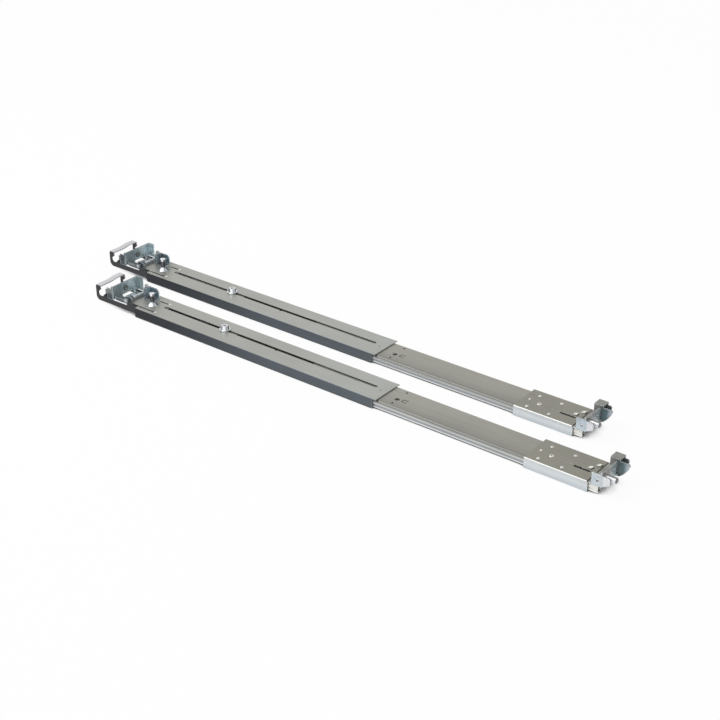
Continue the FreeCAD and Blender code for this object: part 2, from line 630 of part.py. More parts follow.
def rear_bracket():
    """Zinc-plated sheet: base under the web, plate against the post, two cheeks, window and apron."""
    plate_x = s.rear_post_x
    near_y = s.rear_bracket_inset
    far_y = s.rail_width - s.rear_bracket_inset
    top = s.rear_bracket_z + s.rear_bracket_height
    bend, gauge = s.bracket_bend, s.bracket_sheet
    near_end = plate_x + gauge - s.near_cheek_length
    far_end = plate_x + s.far_cheek_length
    upright = pad("BracketUpright", "z", s.rear_bracket_z, s.rear_bracket_height, [
        (near_end, near_y), (plate_x + gauge - bend, near_y),
        (plate_x + gauge, near_y + bend, bend, -1), (plate_x + gauge, far_y - bend),
        (plate_x + bend, far_y - gauge, bend - gauge, 1), (far_end, far_y - gauge),
        (far_end, far_y), (plate_x + bend, far_y), (plate_x, far_y - bend, bend, -1),
        (plate_x, near_y + bend), (plate_x + gauge - bend, near_y + gauge, bend - gauge, 1),
        (near_end, near_y + gauge)])
    foot = box("BracketFoot", plate_x, s.rear_base_inset, base_z, gauge,
               s.rail_width - 2 * s.rear_base_inset, s.rear_bracket_z - base_z)
    apron = box("BracketApron", plate_x, s.apron_y, s.apron_z, gauge, s.apron_width,
                s.rear_bracket_z - s.apron_z)
    base = box("BracketBase", plate_x, s.rear_base_inset, base_z, s.rear_base_front - plate_x,
               s.rail_width - 2 * s.rear_base_inset, gauge)
    solids = [upright, foot, apron, base] + shaft_ears()
    window_depth = s.tongue_x - plate_x
    cutters = [
        box("BracketWindow", plate_x, s.window_y, s.window_z, window_depth, s.window_width,
            s.window_height),
        box("CheekTrim", near_end, near_y, s.rear_bracket_z + s.near_cheek_height,
            s.near_cheek_length - bend, bend, s.rear_bracket_height - s.near_cheek_height),
        box("HookSlot", plate_x - bend, s.shaft_y - s.side_gap, s.apron_z, bend + gauge,
            s.hook_sheet + 2 * s.side_gap, s.hook_arm_z + s.hook_arm_height + s.side_gap - s.apron_z),
        cylinder("ScrewHole", "x", plate_x, centre_y, s.hole_line_z, s.screw_hole_radius, gauge),
        cylinder("ShaftBore", "y", s.shaft_x, 0, s.shaft_z, s.shaft_radius + s.running_gap,
                 s.rail_width),
        cylinder("ReleaseBore", "z", s.release_x, s.release_y, base_z,
                 s.release_stem_radius + s.running_gap, gauge)]
    for x, y in rear_rivet_places():
        cutters.append(cylinder("RivetBore", "z", x, y, base_z, s.rivet_shank, gauge))
    cutters += web_slots()
    return cut("RearBracket", fuse("BracketBlank", solids), cutters)


def shaft_ears():
    """Two ears of the base that carry the rear latch shaft."""
    rear, front = s.shaft_x - s.ear_rear, s.shaft_x + s.ear_front
    top, corner = s.shaft_z + s.ear_rise, s.ear_corner
    return [
        pad("Ear", "y", y, s.bracket_sheet, [
            (rear, base_z), (rear, top - corner), (rear + corner, top, corner, 1),
            (front - corner, top), (front, top - corner, corner, 1), (front, base_z)])
        for y in (s.rear_base_inset, s.rail_width - s.rear_base_inset - s.bracket_sheet)]


def studs(name, x, length, places, direction):
    """Round studs with a lead, that enter the square holes of the post."""
    solids = []
    for y in places:
        straight = length - s.pin_chamfer
        tip = s.pin_radius - s.pin_chamfer
        if direction < 0:
            stem = cylinder(name + "Stem", "x", x - straight, y, s.hole_line_z, s.pin_radius, straight)
            lead = cone(name + "Lead", "x", x - length, y, s.hole_line_z, tip, s.pin_radius, s.pin_chamfer)
        else:
            stem = cylinder(name + "Stem", "x", x, y, s.hole_line_z, s.pin_radius, straight)
            lead = cone(name + "Lead", "x", x + straight, y, s.hole_line_z, s.pin_radius, tip, s.pin_chamfer)
        solids.append(fuse(name + "One", [stem, lead]))
    return solids


def rear_pins():
    places = [near_hole_y, far_hole_y]
    return compound("RearPins", studs("RearPin", s.rear_post_x, s.rear_pin_length, places, -1))


def tail_bail():
    """Strap that runs back inside the rear section's flanges, up, and across behind the bracket."""
    near_y = s.rear_sheet
    far_y = s.rail_width - s.rear_sheet - s.bail_sheet
    arm_top = s.bail_z + s.bail_height
    low = s.bail_top - 2 * s.bracket_bend
    arms = []
    for y in (near_y, far_y):
        arms.append(pad("BailArm", "y", y, s.bail_sheet, [
            (s.bail_front, s.bail_z), (s.bail_front, arm_top),
            (s.bail_rise_x + s.bail_rise_length + s.bail_rise_height / 2, arm_top),
            (s.bail_rise_x + s.bail_rise_length, arm_top + s.bail_rise_height),
            (s.bail_rise_x + s.bail_rise_height / 2, arm_top + s.bail_rise_height),
            (s.bail_rise_x, arm_top),
            (s.bail_fin_x + s.bail_fin_base, arm_top), (s.bail_fin_x, s.bail_fin_top),
            (s.bail_fin_x - s.bail_fin_base, arm_top),
            (s.bail_x + s.bail_leg + s.bail_inner_corner, arm_top),
            (s.bail_x + s.bail_leg, arm_top + s.bail_inner_corner, s.bail_inner_corner, 1),
            (s.bail_x + s.bail_leg, s.bail_flare_z), (s.bail_x + s.bail_bridge, low),
            (s.bail_x + s.bail_bridge, s.bail_top - s.bail_sheet),
            (s.bail_x, s.bail_top - s.bail_sheet), (s.bail_x, s.bail_z + s.bail_corner),
            (s.bail_x + s.bail_corner, s.bail_z, s.bail_corner, -1)]))
    trims = [
        box("LegTrim", s.bail_x, y, low, s.bail_bridge, s.bail_sheet, s.bail_top - low)
        for y in (near_y, far_y)]
    legs = cut("BailLegs", fuse("BailArms", arms), trims)
    bridge = pad("BailBridge", "x", s.bail_x, s.bail_bridge, bridge_outline(near_y, far_y, low))
    return fuse("TailBail", [legs, bridge])


def bridge_outline(near_y, far_y, low):
    """The strap across the top with its step, seen along the rail: two bends and an S between."""
    gauge, bend, top = s.bail_sheet, s.bracket_bend, s.bail_top
    high = top + s.joggle_rise
    far_side = far_y + gauge
    run = (s.joggle_end - s.joggle_start) / 2
    middle = s.joggle_start + run
    half_rise = s.joggle_rise / 2
    sweep = (run * run + half_rise * half_rise) / s.joggle_rise
    return [
        (near_y, low), (near_y, top - bend), (near_y + bend, top, bend, 1), (s.joggle_start, top),
        (middle, top + half_rise, sweep, -1), (s.joggle_end, high, sweep, 1),
        (far_side - bend, high), (far_side, high - bend, bend, 1), (far_side, low),
        (far_y, low), (far_y, high - bend), (far_side - bend, high - gauge, bend - gauge, -1),
        (s.joggle_end, high - gauge), (middle, top + half_rise - gauge, sweep, -1),
        (s.joggle_start, top - gauge, sweep, 1), (near_y + bend, top - gauge),
        (near_y + gauge, top - bend, bend - gauge, -1), (near_y + gauge, low)]


# ---------------------------------------------------------------------------------------------
# Rear latch: hook, shaft and thumb piece turn together
# ---------------------------------------------------------------------------------------------
def rear_latch_hook():
    """Flat hook on the near end of the shaft; its tooth stands behind the post."""
    arm_top = s.hook_arm_z + s.hook_arm_height
    arm = box("HookArm", s.hook_x, s.shaft_y, s.hook_arm_z, s.shaft_x - s.hook_x, s.hook_sheet,
              s.hook_arm_height)
    tooth = box("HookTooth", s.hook_x, s.shaft_y, s.hook_arm_z, s.hook_tip_length, s.hook_sheet,
                s.hook_tip_height)
    boss = cylinder("HookBoss", "y", s.shaft_x, s.shaft_y, s.shaft_z, s.hook_boss_radius, s.hook_sheet)
    bore = cylinder("HookBore", "y", s.shaft_x, s.shaft_y, s.shaft_z, s.shaft_radius, s.hook_sheet)
    return cut("RearLatchHook", fuse("HookBlank", [arm, tooth, boss]), [bore])


def rear_latch_shaft():
    return compound("RearLatchShaft", [
        cylinder("LatchShaft", "y", s.shaft_x, s.shaft_y, s.shaft_z, s.shaft_radius, s.shaft_length)])


def rear_latch_knob():
    """Round thumb piece on the far end of the shaft."""
    y = s.rail_width - s.rear_base_inset + s.knob_gap
    thickness = s.shaft_y + s.shaft_length - y
    arm = box("KnobArm", s.shaft_x - s.knob_radius, y, s.shaft_z, 2 * s.knob_radius, thickness,
              s.knob_rise)
    top = cylinder("KnobTop", "y", s.shaft_x, y, s.shaft_z + s.knob_rise, s.knob_radius, thickness)
    foot = cylinder("KnobFoot", "y", s.shaft_x, y, s.shaft_z, s.knob_radius, thickness)
    bore = cylinder("KnobBore", "y", s.shaft_x, y, s.shaft_z, s.shaft_radius, thickness)
    return cut("RearLatchKnob", fuse("KnobBlank", [arm, top, foot]), [bore])


def rear_latch_spring():
    start = s.rear_base_inset + s.bracket_sheet + s.wire_radius + s.side_gap
    return coil("RearLatchSpring", "y", s.shaft_x, start, s.shaft_z, s.shaft_coil_radius,
                s.shaft_coil_length, s.short_coil_turns)


def rear_latch_guard():
    """Bent strap that stands beside the latch: foot, upright plate and folded rear end."""
    gauge = s.bracket_sheet
    height = s.guard_height
    plate = pad("GuardPlate", "y", s.guard_y, gauge, [
        (s.guard_x, s.web_z), (s.guard_x, s.web_z + height),
        (s.guard_x + s.guard_length - s.guard_corner, s.web_z + height),
        (s.guard_x + s.guard_length, s.web_z + height - s.guard_corner, s.guard_corner, 1),
        (s.guard_x + s.guard_length, s.web_z)])
    end = box("GuardEnd", s.guard_x, s.guard_y - s.guard_depth, s.web_z, gauge, s.guard_depth, height)
    foot = box("GuardFoot", s.guard_x, s.guard_y - s.guard_depth, s.web_z, s.guard_length,
               s.guard_depth, gauge)
    holes = [
        cylinder("GuardHole", "y", s.guard_x + s.guard_length * part, s.guard_y,
                 s.web_z + height * rise, s.guard_hole_radius, gauge)
        for part, rise in ((s.front_guard_hole, s.front_guard_rise),
                           (s.rear_guard_hole, s.rear_guard_rise))]
    clearance = cylinder("GuardClearance", "z", s.release_x, s.release_y, s.web_z,
                         s.release_flange_radius + s.side_gap, gauge)
    return cut("RearLatchGuard", fuse("GuardBlank", [plate, end, foot]), holes + [clearance])


def rear_release():
    """Spring-loaded plunger: stem and cap."""
    stem = cylinder("ReleaseStem", "z", s.release_x, s.release_y, s.release_stem_z,
                    s.release_stem_radius, s.release_top_z - s.release_stem_z)
    cap_z = s.release_top_z - s.release_cap_height
    cap = cylinder("ReleaseCap", "z", s.release_x, s.release_y, cap_z, s.release_cap_radius,
                   s.release_cap_height)
    return fuse("RearRelease", [stem, cap])


def rear_release_bush():
    bush = cone("ReleaseFlange", "z", s.release_x, s.release_y, s.web_z, s.release_flange_radius,
                s.release_cap_radius, s.release_flange_height)
    bore = cylinder("BushBore", "z", s.release_x, s.release_y, s.web_z,
                    s.release_stem_radius + s.running_gap, s.release_flange_height)
    return cut("RearReleaseBush", bush, [bore])


def rear_release_spring():
    gap = s.wire_radius + s.side_gap / 2
    low = s.web_z + s.release_flange_height + gap
    high = s.release_top_z - s.release_cap_height - gap
    return coil("RearReleaseSpring", "z", s.release_x, s.release_y, low, s.plunger_coil_radius,
                high - low, s.short_coil_turns)


# ---------------------------------------------------------------------------------------------
# Outer member of the slide and the ball-bearing members inside it
# ---------------------------------------------------------------------------------------------
def front_section():
    """Roll-formed outer member: flat web, rounded shoulders, a race down each side, and lips."""
    gauge = s.slide_sheet
    outer_reach = groove_reach(s.race_radius + gauge, s.race_bulge)
    inner_reach = groove_reach(s.race_radius, s.race_bulge)
    crest = s.slide_half - s.race_bulge
    z = s.outer_ball_z
    flat = s.slide_flat
    shell = pad("SlideShell", "x", s.slide_x, s.slide_length, mirrored([
        (flat, s.slide_top_z), (crest, z + outer_reach, s.shoulder_radius + gauge, 1),
        (crest, z - outer_reach, s.race_radius + gauge, 1), (s.lip_half, s.slide_bottom_z),
        (s.lip_half - gauge, s.slide_bottom_z),
        (crest - gauge, z - inner_reach), (crest - gauge, z + inner_reach, s.race_radius, -1),
        (flat, web_under_z, s.shoulder_radius, -1)]))
    window = slot("SlideWindow", s.slide_window_x, centre_y, web_under_z, s.slide_window_length,
                  2 * s.slide_window_half, gauge)
    spring_window = box("SpringWindow", s.spring_slot_x - s.side_gap,
                        s.spring_slot_y - s.spring_slot_width / 2, web_under_z,
                        s.spring_slot_length + 2 * s.side_gap, s.spring_slot_width, gauge)
    holes = [
        cylinder("ToolHole", "z", s.tool_hole_x, y, web_under_z, radius, gauge)
        for y, radius in ((s.tool_hole_y, s.tool_hole_radius),
                          (s.small_hole_near_y, s.small_hole_radius),
                          (s.small_hole_far_y, s.small_hole_radius))]
    holes.append(cylinder("GuideHole", "z", s.guide_bolt_x, s.slot_y, web_under_z,
                          s.guide_shank_radius, gauge))
    for x, y in cover_rivet_places() + base_rivet_places():
        holes.append(cylinder("SlideRivetHole", "z", x, y, web_under_z, s.rivet_shank, gauge))
    return cut("FrontSection", shell, [window, spring_window] + holes + lance_slits())


def lance_slits():
    """Three slits round a square tab, which stays joined at its front edge."""
    far = s.lance_y + s.lance_width - s.lance_slit
    slits = [
        box("LanceSide", s.lance_x, y, web_under_z, s.lance_length, s.lance_slit, s.slide_sheet)
        for y in (s.lance_y, far)]
    slits.append(box("LanceRear", s.lance_x, s.lance_y, web_under_z, s.lance_slit, s.lance_width,
                     s.slide_sheet))
    return slits


def guide_bolt():
    """Shoulder bolt: its shank runs in the adjusting slot, its round head holds the rear section."""
    shank = cylinder("GuideShank", "z", s.guide_bolt_x, s.slot_y, web_under_z, s.guide_shank_radius,
                     s.web_z + s.side_gap - web_under_z)
    collar = cylinder("GuideCollar", "z", s.guide_bolt_x, s.slot_y, s.web_z + s.side_gap / 2,
                      s.guide_washer_radius, s.guide_washer_height)
    head_z = s.web_z + s.side_gap / 2 + s.guide_washer_height
    head = cone("GuideHead", "z", s.guide_bolt_x, s.slot_y, head_z, s.guide_head_radius,
                s.guide_head_radius * s.guide_head_taper, s.guide_head_height)
    socket = cylinder("GuideSocket", "z", s.guide_bolt_x, s.slot_y,
                      head_z + s.guide_head_height / 2, s.guide_shank_radius, s.guide_head_height / 2)
    return cut("GuideBolt", fuse("GuideBlank", [shank, collar, head]), [socket])


def stop_bumper():
    """Soft block under the closed end of the outer member, where the members come to rest."""
    block = box("BumperBlock", s.slide_x + s.side_gap, centre_y - s.bumper_half,
                web_under_z - s.bumper_height, s.bumper_length, 2 * s.bumper_half, s.bumper_height)
    return compound("StopBumper", [rounded("BumperRound", block, s.slide_sheet, runs_along(
        "x", z=[web_under_z - s.bumper_height]))])


def cage(name, top, ball_half, ball_z, ball_radius):
    """Bent strip with a row of holes down each side that keeps the balls apart."""
    gauge, bevel = s.cage_sheet, s.cage_bevel
    side = ball_half + gauge / 2
    fold = gauge * round(math.tan(math.pi / 8), 3)
    low = ball_z - s.cage_reach
    strip = pad(name + "Strip", "x", s.cage_x, s.cage_length, mirrored([
        (side - bevel, top), (side, top - bevel), (side, low), (side - gauge, low),
        (side - gauge, top - bevel - fold), (side - bevel - fold, top - gauge)]))
    holes = [
        cylinder(name + "Hole", "y", x, centre_y - side, ball_z, ball_radius + s.race_gap, 2 * side)
        for x in ball_places()]
    return cut(name, strip, holes)


def ball_places():
    """Evenly spaced stations along a cage, half a pitch in from its ends."""
    count = int(s.balls_per_row.value)
    pitch = s.cage_length / s.balls_per_row
    return [s.cage_x + pitch * (number + 0.5) for number in range(count)]


def balls(name, ball_half, ball_z, ball_radius):
    return compound(name, [
        ball(name + "Ball", x, centre_y + side * ball_half, ball_z, ball_radius)
        for x in ball_places() for side in (-1, 1)])


def outer_ball_cage():
    return cage("OuterBallCage", outer_cage_top_z, outer_ball_half, s.outer_ball_z, s.outer_ball_radius)


def inner_ball_cage():
    return cage("InnerBallCage", inner_cage_top_z, inner_ball_half, s.inner_ball_z, s.inner_ball_radius)


def outer_balls():
    return balls("OuterBalls", outer_ball_half, s.outer_ball_z, s.outer_ball_radius)


def inner_balls():
    return balls("InnerBalls", inner_ball_half, s.inner_ball_z, s.inner_ball_radius)


def intermediate_member():
    """Channel with a groove down the outside and the inside of each leg."""
    outer_radius = s.outer_ball_radius + s.race_ease
    inner_radius = s.inner_ball_radius + s.race_ease
    inside = s.middle_half - s.middle_leg
    outer_reach = groove_reach(outer_radius, s.middle_half - middle_groove_half)
    inner_reach = groove_reach(inner_radius, inner_race_half - inside)
    return pad("IntermediateMember", "x", s.middle_x, s.middle_length, mirrored([
        (s.middle_half - s.leg_bevel, middle_top_z), (s.middle_half, middle_top_z - s.leg_bevel),
        (s.middle_half, s.outer_ball_z + outer_reach),
        (s.middle_half, s.outer_ball_z - outer_reach, outer_radius, -1),
        (s.middle_half, s.middle_bottom_z), (inside, s.middle_bottom_z),
        (inside, s.inner_ball_z - inner_reach),
        (inside, s.inner_ball_z + inner_reach, inner_radius, -1),
        (inside, middle_top_z - s.middle_sheet)]))


def inner_member():
    """Upturned channel that is fastened to the server, with a groove down each leg."""
    radius = s.inner_ball_radius + s.race_ease
    reach = groove_reach(radius, s.inner_half - inner_groove_half)
    half, leg = s.inner_half, s.inner_leg
    shell = pad("InnerShell", "x", s.inner_x, s.inner_length, mirrored([
        (half - leg, s.inner_sheet), (half - leg, inner_leg_top_z),
        (half - s.inner_bevel, inner_leg_top_z), (half, inner_leg_top_z - s.inner_bevel),
        (half, s.inner_ball_z + reach), (half, s.inner_ball_z - reach, radius, -1),
        (half, s.inner_bend), (half - s.inner_bend, 0, s.inner_bend, 1)]))
    holes = [
        cylinder("ServerHole", "z", s.server_hole_x + s.server_hole_pitch * number, centre_y, 0,
                 s.server_hole_radius, s.inner_sheet)
        for number in range(int(s.server_hole_count.value))]
    return cut("InnerMember", shell, holes)


def lock_lever():
    """Flat lever inside the inner member: pressing its tail lets the member come off."""
    middle = box("LeverBar", s.lever_pivot_x - s.lever_length, centre_y - s.lever_half,
                 s.inner_sheet + s.running_gap, s.lever_length, 2 * s.lever_half, s.lever_sheet)
    eye = cylinder("LeverEye", "z", s.lever_pivot_x, centre_y, s.inner_sheet + s.running_gap,
                   s.lever_half, s.lever_sheet)
    nose = pad("LeverNose", "z", s.inner_sheet + s.running_gap, s.lever_sheet, [
        (s.lever_pivot_x, centre_y - s.lever_half), (s.lever_pivot_x + s.lever_nose, centre_y),
        (s.lever_pivot_x, centre_y + s.lever_half)])
    tail = cylinder("LeverTail", "z", s.lever_pivot_x - s.lever_length, centre_y,
                    s.inner_sheet + s.running_gap, s.lever_half, s.lever_sheet)
    bore = cylinder("LeverBore", "z", s.lever_pivot_x, centre_y, s.inner_sheet,
                    s.lever_pin_radius + s.running_gap, 2 * s.lever_sheet)
    return cut("LockLever", fuse("LeverBlank", [middle, eye, nose, tail]), [bore])


def lock_pin():
    """Headed pin that carries the lock lever on the inner member's web."""
    height = s.lever_sheet + 3 * s.running_gap
    shank = cylinder("LockShank", "z", s.lever_pivot_x, centre_y, s.inner_sheet,
                     s.lever_pin_radius, height)
    head = cylinder("LockHead", "z", s.lever_pivot_x, centre_y, s.inner_sheet + height,
                    s.lever_head_radius, s.lever_sheet)
    return fuse("LockPin", [shank, head])


# ---------------------------------------------------------------------------------------------
# Front end: cover plate, bracket, latch
# ---------------------------------------------------------------------------------------------
def cover_rivet_places():
    """Two rows of two, either side of the cover plate's middle."""
    rear, front = s.cover_x + s.cover_rivet_rear, s.cover_x + s.cover_rivet_front
    near, far = centre_y - s.cover_rivet_near, centre_y + s.cover_rivet_far
    return [(rear, near), (rear, far), (front, near), (front, far)]


def base_rivet_places():
    x = s.front_base_x + s.base_rivet_x
    return [(x, near_hole_y + s.base_rivet_y), (x, centre_y)]


def front_cover_plate():
    """Channel riveted over the front of the outer member, with a slot over the latch spring."""
    depth = s.slide_top_z + s.cover_sheet
    shell = channel("CoverShell", s.cover_x, s.cover_flange_length, s.cover_half, depth, depth,
                    s.cover_sheet, s.cover_bend)
    short = s.cover_flange_length - s.cover_length
    cutters = [
        box("CoverTrim", s.cover_x + s.cover_length, centre_y - s.cover_half, s.slide_top_z,
            short, 2 * s.cover_half, s.cover_sheet),
        slot("SpringSlot", s.spring_slot_x, s.spring_slot_y, s.slide_top_z,
             s.spring_slot_length, s.spring_slot_width, s.cover_sheet),
        box("CoverSlit", s.groove_x, s.spring_slot_y - s.groove_width / 2, s.slide_top_z,
            s.spring_slot_x - s.groove_x + s.groove_width, s.groove_width, s.cover_sheet)]
    for x, y in cover_rivet_places():
        cutters.append(cylinder("CoverRivetHole", "z", x, y, s.slide_top_z, s.rivet_shank,
                                s.cover_sheet))
    for x, y in tongue_places():
        cutters.append(box("TongueWindow", x + s.tongue_sheet, y - s.side_gap, s.slide_top_z,
                           s.tongue_length, s.tongue_width + 2 * s.side_gap, s.cover_sheet))
    sheet_top = s.slide_top_z + s.cover_sheet
    marks = [
        cone("CoverBoss", "z", s.boss_x, s.boss_y, sheet_top, s.boss_radius,
             s.boss_radius - s.dimple_height, s.dimple_height),
        cone("CoverDimple", "z", s.cover_dimple_x, s.cover_dimple_y, sheet_top, s.dimple_radius,
             s.dimple_radius - s.dimple_height, s.dimple_height)]
    bossed = fuse("CoverPressed", [cut("CoverCut", shell, cutters)] + cover_tongues() + marks)
    return cut("FrontCoverPlate", bossed, [
        cylinder("BossHole", "z", s.boss_x, s.boss_y, s.slide_top_z, s.boss_hole_radius,
                 s.cover_sheet + s.dimple_height)])


def tongue_places():
    return [(s.near_tongue_x, s.near_tongue_y), (s.far_tongue_x, s.far_tongue_y)]


def cover_tongues():
    """Two tongues lanced from the cover plate that rise towards the front."""
    top = s.slide_top_z + s.cover_sheet
    under = top - s.tongue_sheet
    return [
        pad("Tongue", "y", y, s.tongue_width, [
            (x, under), (x, top), (x + s.tongue_sheet, top),
            (x + s.tongue_length, top + s.tongue_rise), (x + s.tongue_length, under + s.tongue_rise),
            (x + s.tongue_sheet, under)])
        for x, y in tongue_places()]


def front_rivets():
    covers = rivets("CoverRivets", cover_rivet_places(), web_under_z, s.slide_sheet + s.cover_sheet)
    bases = rivets("BaseRivets", base_rivet_places(), web_under_z, s.slide_sheet + s.bracket_sheet)
    return compound("FrontRivets", [covers, bases])


def front_bracket():
    """Zinc-plated sheet: base on the slide, near ear, plate against the post, prong and stud."""
    gauge, bend = s.bracket_sheet, s.bracket_bend
    near_y = centre_y - s.cover_half
    rear_face = s.front_post_x - gauge
    base = box("FrontBase", s.front_base_x, near_y, s.slide_top_z, s.front_post_x - s.front_base_x,
               2 * s.cover_half, gauge)
    upright = pad("FrontUpright", "z", bracket_top_z, s.front_plate_height, [
        (s.front_ear_x, near_y), (s.front_post_x - bend, near_y),
        (s.front_post_x, near_y + bend, bend, -1), (s.front_post_x, near_y + s.front_plate_width),
        (rear_face, near_y + s.front_plate_width), (rear_face, near_y + bend),
        (s.front_post_x - bend, near_y + gauge, bend - gauge, 1), (s.front_ear_x, near_y + gauge)])
    ear_trim = box("EarTrim", s.front_ear_x, near_y, bracket_top_z + s.front_ear_height,
                   s.front_post_x - bend - s.front_ear_x, bend,
                   s.front_plate_height - s.front_ear_height)
    tip = s.front_post_x + s.prong_length
    top = s.prong_z + s.prong_height
    prong = pad("NearProng", "y", near_y + s.side_gap, gauge, [
        (rear_face, s.prong_z), (rear_face, top), (tip - s.prong_round, top),
        (tip, top - s.prong_round, s.prong_round, 1), (tip, s.prong_tip_z),
        (s.front_post_x + s.prong_flat, s.prong_z)])
    hole = cylinder("FrontScrewHole", "x", rear_face, centre_y, s.hole_line_z, s.screw_hole_radius,
                    gauge)
    bores = [
        cylinder("BaseRivetHole", "z", x, y, s.slide_top_z, s.rivet_shank, gauge)
        for x, y in base_rivet_places()]
    stud = studs("FrontStud", s.front_post_x, s.front_pin_length, [near_hole_y], 1)
    blank = fuse("FrontBlank",
                 [base, cut("FrontPlate", upright, [ear_trim]), prong] + latch_lugs() + stud)
    bores.append(cylinder("LugBore", "y", s.latch_pin_x, 0, s.latch_pin_z, s.latch_pin_radius,
                          s.rail_width))
    return cut("FrontBracket", blank, [hole] + bores)


def latch_lugs():
    """Two lugs on the base, one each side of the latch, that hold its pin."""
    lugs = []
    for y in (s.latch_y - s.side_gap - s.bracket_sheet, s.latch_y + s.latch_width + s.side_gap):
        lugs.append(box("Lug", s.latch_pin_x - s.lug_half, y, s.slide_top_z, 2 * s.lug_half,
                        s.bracket_sheet, s.latch_pin_z - s.slide_top_z))
        lugs.append(cylinder("LugTop", "y", s.latch_pin_x, y, s.latch_pin_z, s.lug_half,
                             s.bracket_sheet))
    return lugs


def front_latch():
    """Folded box, open below and in front, whose two cheeks run on as hooks behind the post."""
    gauge = s.latch_sheet
    height = s.latch_top_z - s.latch_z
    block = box("LatchBlock", s.latch_x, s.latch_y, s.latch_z, s.latch_length, s.latch_width, height)
    hollow = box("LatchHollow", s.latch_x + gauge, s.latch_y + gauge, s.latch_z, s.latch_length,
                 s.latch_width - 2 * gauge, height - gauge)
    hooks = [
        latch_hook("NearHook", s.latch_y, s.near_hook_length, s.near_hook_top_z),
        latch_hook("FarHook", s.latch_y + s.latch_width - gauge, s.far_hook_length,
                   s.far_hook_top_z)]
    bore = cylinder("LatchBore", "y", s.latch_pin_x, s.latch_y, s.latch_pin_z,
                    s.latch_pin_radius + s.running_gap, s.latch_width)
    return cut("FrontLatch", fuse("LatchBlank", [cut("LatchShell", block, [hollow])] + hooks), [bore])


def latch_hook(name, y, length, top):
    """Hook in the plane of a cheek: level on top, with a swept leading edge."""
    rear = s.front_post_x + s.side_gap
    tip = latch_front + length
    return pad(name, "y", y, s.latch_sheet, [
        (rear, s.hook_low_z), (rear, top), (tip - s.hook_round, top),
        (tip, top - s.hook_round, s.hook_round, 1),
        (rear + s.hook_foot, s.hook_low_z, s.hook_sweep, 1)])


def front_latch_pin():
    y = s.latch_y - s.side_gap - s.bracket_sheet
    return compound("FrontLatchPin", [
        cylinder("LatchPin", "y", s.latch_pin_x, y, s.latch_pin_z, s.latch_pin_radius,
                 s.latch_width + 2 * s.side_gap + 2 * s.bracket_sheet)])


def front_latch_spring():
    start = s.spring_slot_x + s.side_gap + s.wire_radius
    length = s.spring_slot_length - 2 * (s.side_gap + s.wire_radius)
    height = web_under_z + s.wire_radius + s.coil_radius + s.side_gap
    return coil("FrontLatchSpring", "x", start, s.spring_slot_y, height, s.coil_radius, length,
                s.long_coil_turns)


# ---------------------------------------------------------------------------------------------
# The pair: every piece once for each rail, then checked and written out
# ---------------------------------------------------------------------------------------------
PIECES = [
    front_section, front_cover_plate, front_bracket, front_rivets, front_latch_pin,
    front_latch_spring, guide_bolt, stop_bumper, front_latch, outer_ball_cage, outer_balls,
    intermediate_member, inner_ball_cage, inner_balls, inner_member, lock_pin, lock_lever,
    rear_section, rear_bracket, rear_rivets, rear_pins, tail_bail, rear_latch_hook,
    rear_latch_shaft, rear_latch_knob, rear_latch_spring, rear_latch_guard, rear_release,
    rear_release_bush, rear_release_spring]

RAILS = (("a", 0), ("b", 1))


def place(piece, number):
    """Set a finished piece where its rail lies, in the frame of the pair."""
    shift_x = s.pair_shift_x * number - origin_x
    shift_y = s.pair_shift_y * number - origin_y
    bind(piece, x=shift_x, y=shift_y)


nodes = []
for rail, number in RAILS:
    for make in PIECES:
        piece = make()
        piece.Label = "%s_%s" % (make.__name__, rail)
        nodes.append((piece, number))
        place(piece, number)
doc.recompute()

for item in doc.Objects:
    if "Invalid" in item.State or "Error" in item.State:
        raise RuntimeError("%s did not build: %s" % (item.Label, item.State))

os.makedirs("parts", exist_ok=True)
for piece, number in nodes:
    shape = piece.Shape
    if shape.isNull() or not shape.isValid() or not shape.Solids:
        raise RuntimeError("%s has no valid solid" % piece.Label)
    shape.exportStep(os.path.join("parts", piece.Label + ".step"))
print("%d nodes, %d solids" % (len(nodes), sum(len(piece.Shape.Solids) for piece, number in nodes)))
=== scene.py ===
# A pair of sliding server rails: two telescopic ball-bearing slides, each with a wide rear section
# that slides over it to suit the depth of the rack, and zinc-plated brackets at both ends that seat
# on the posts. The sections below follow one rail as it is put together.
import math

import bpy
import numpy as np
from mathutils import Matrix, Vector


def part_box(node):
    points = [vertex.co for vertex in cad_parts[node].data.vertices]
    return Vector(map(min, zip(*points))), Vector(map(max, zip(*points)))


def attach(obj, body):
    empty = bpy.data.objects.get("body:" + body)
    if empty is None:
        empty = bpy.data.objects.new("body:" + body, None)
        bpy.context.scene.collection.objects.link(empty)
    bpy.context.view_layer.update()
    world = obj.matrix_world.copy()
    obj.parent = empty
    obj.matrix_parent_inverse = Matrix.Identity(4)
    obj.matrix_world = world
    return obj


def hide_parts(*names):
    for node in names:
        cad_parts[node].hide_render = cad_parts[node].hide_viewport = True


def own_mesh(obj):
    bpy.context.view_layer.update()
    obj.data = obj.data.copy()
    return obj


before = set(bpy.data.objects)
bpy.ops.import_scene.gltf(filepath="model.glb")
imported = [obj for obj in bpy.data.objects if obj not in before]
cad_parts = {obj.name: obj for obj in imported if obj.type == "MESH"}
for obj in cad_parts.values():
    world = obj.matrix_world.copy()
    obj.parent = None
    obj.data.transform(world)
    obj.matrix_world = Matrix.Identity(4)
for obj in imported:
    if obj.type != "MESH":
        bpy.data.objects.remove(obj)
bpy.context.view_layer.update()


# ---- Outer member ------------------------------------------------------------------------------
# The long fixed part of each slide: one strip of steel, roll-formed into a channel with a race
# down each side. It is used as it leaves the rolls, with fine lines drawn along it, and its
# flanks carry painted highlight and painted shade in bands from lip to shoulder.

RAILS = ("a", "b")
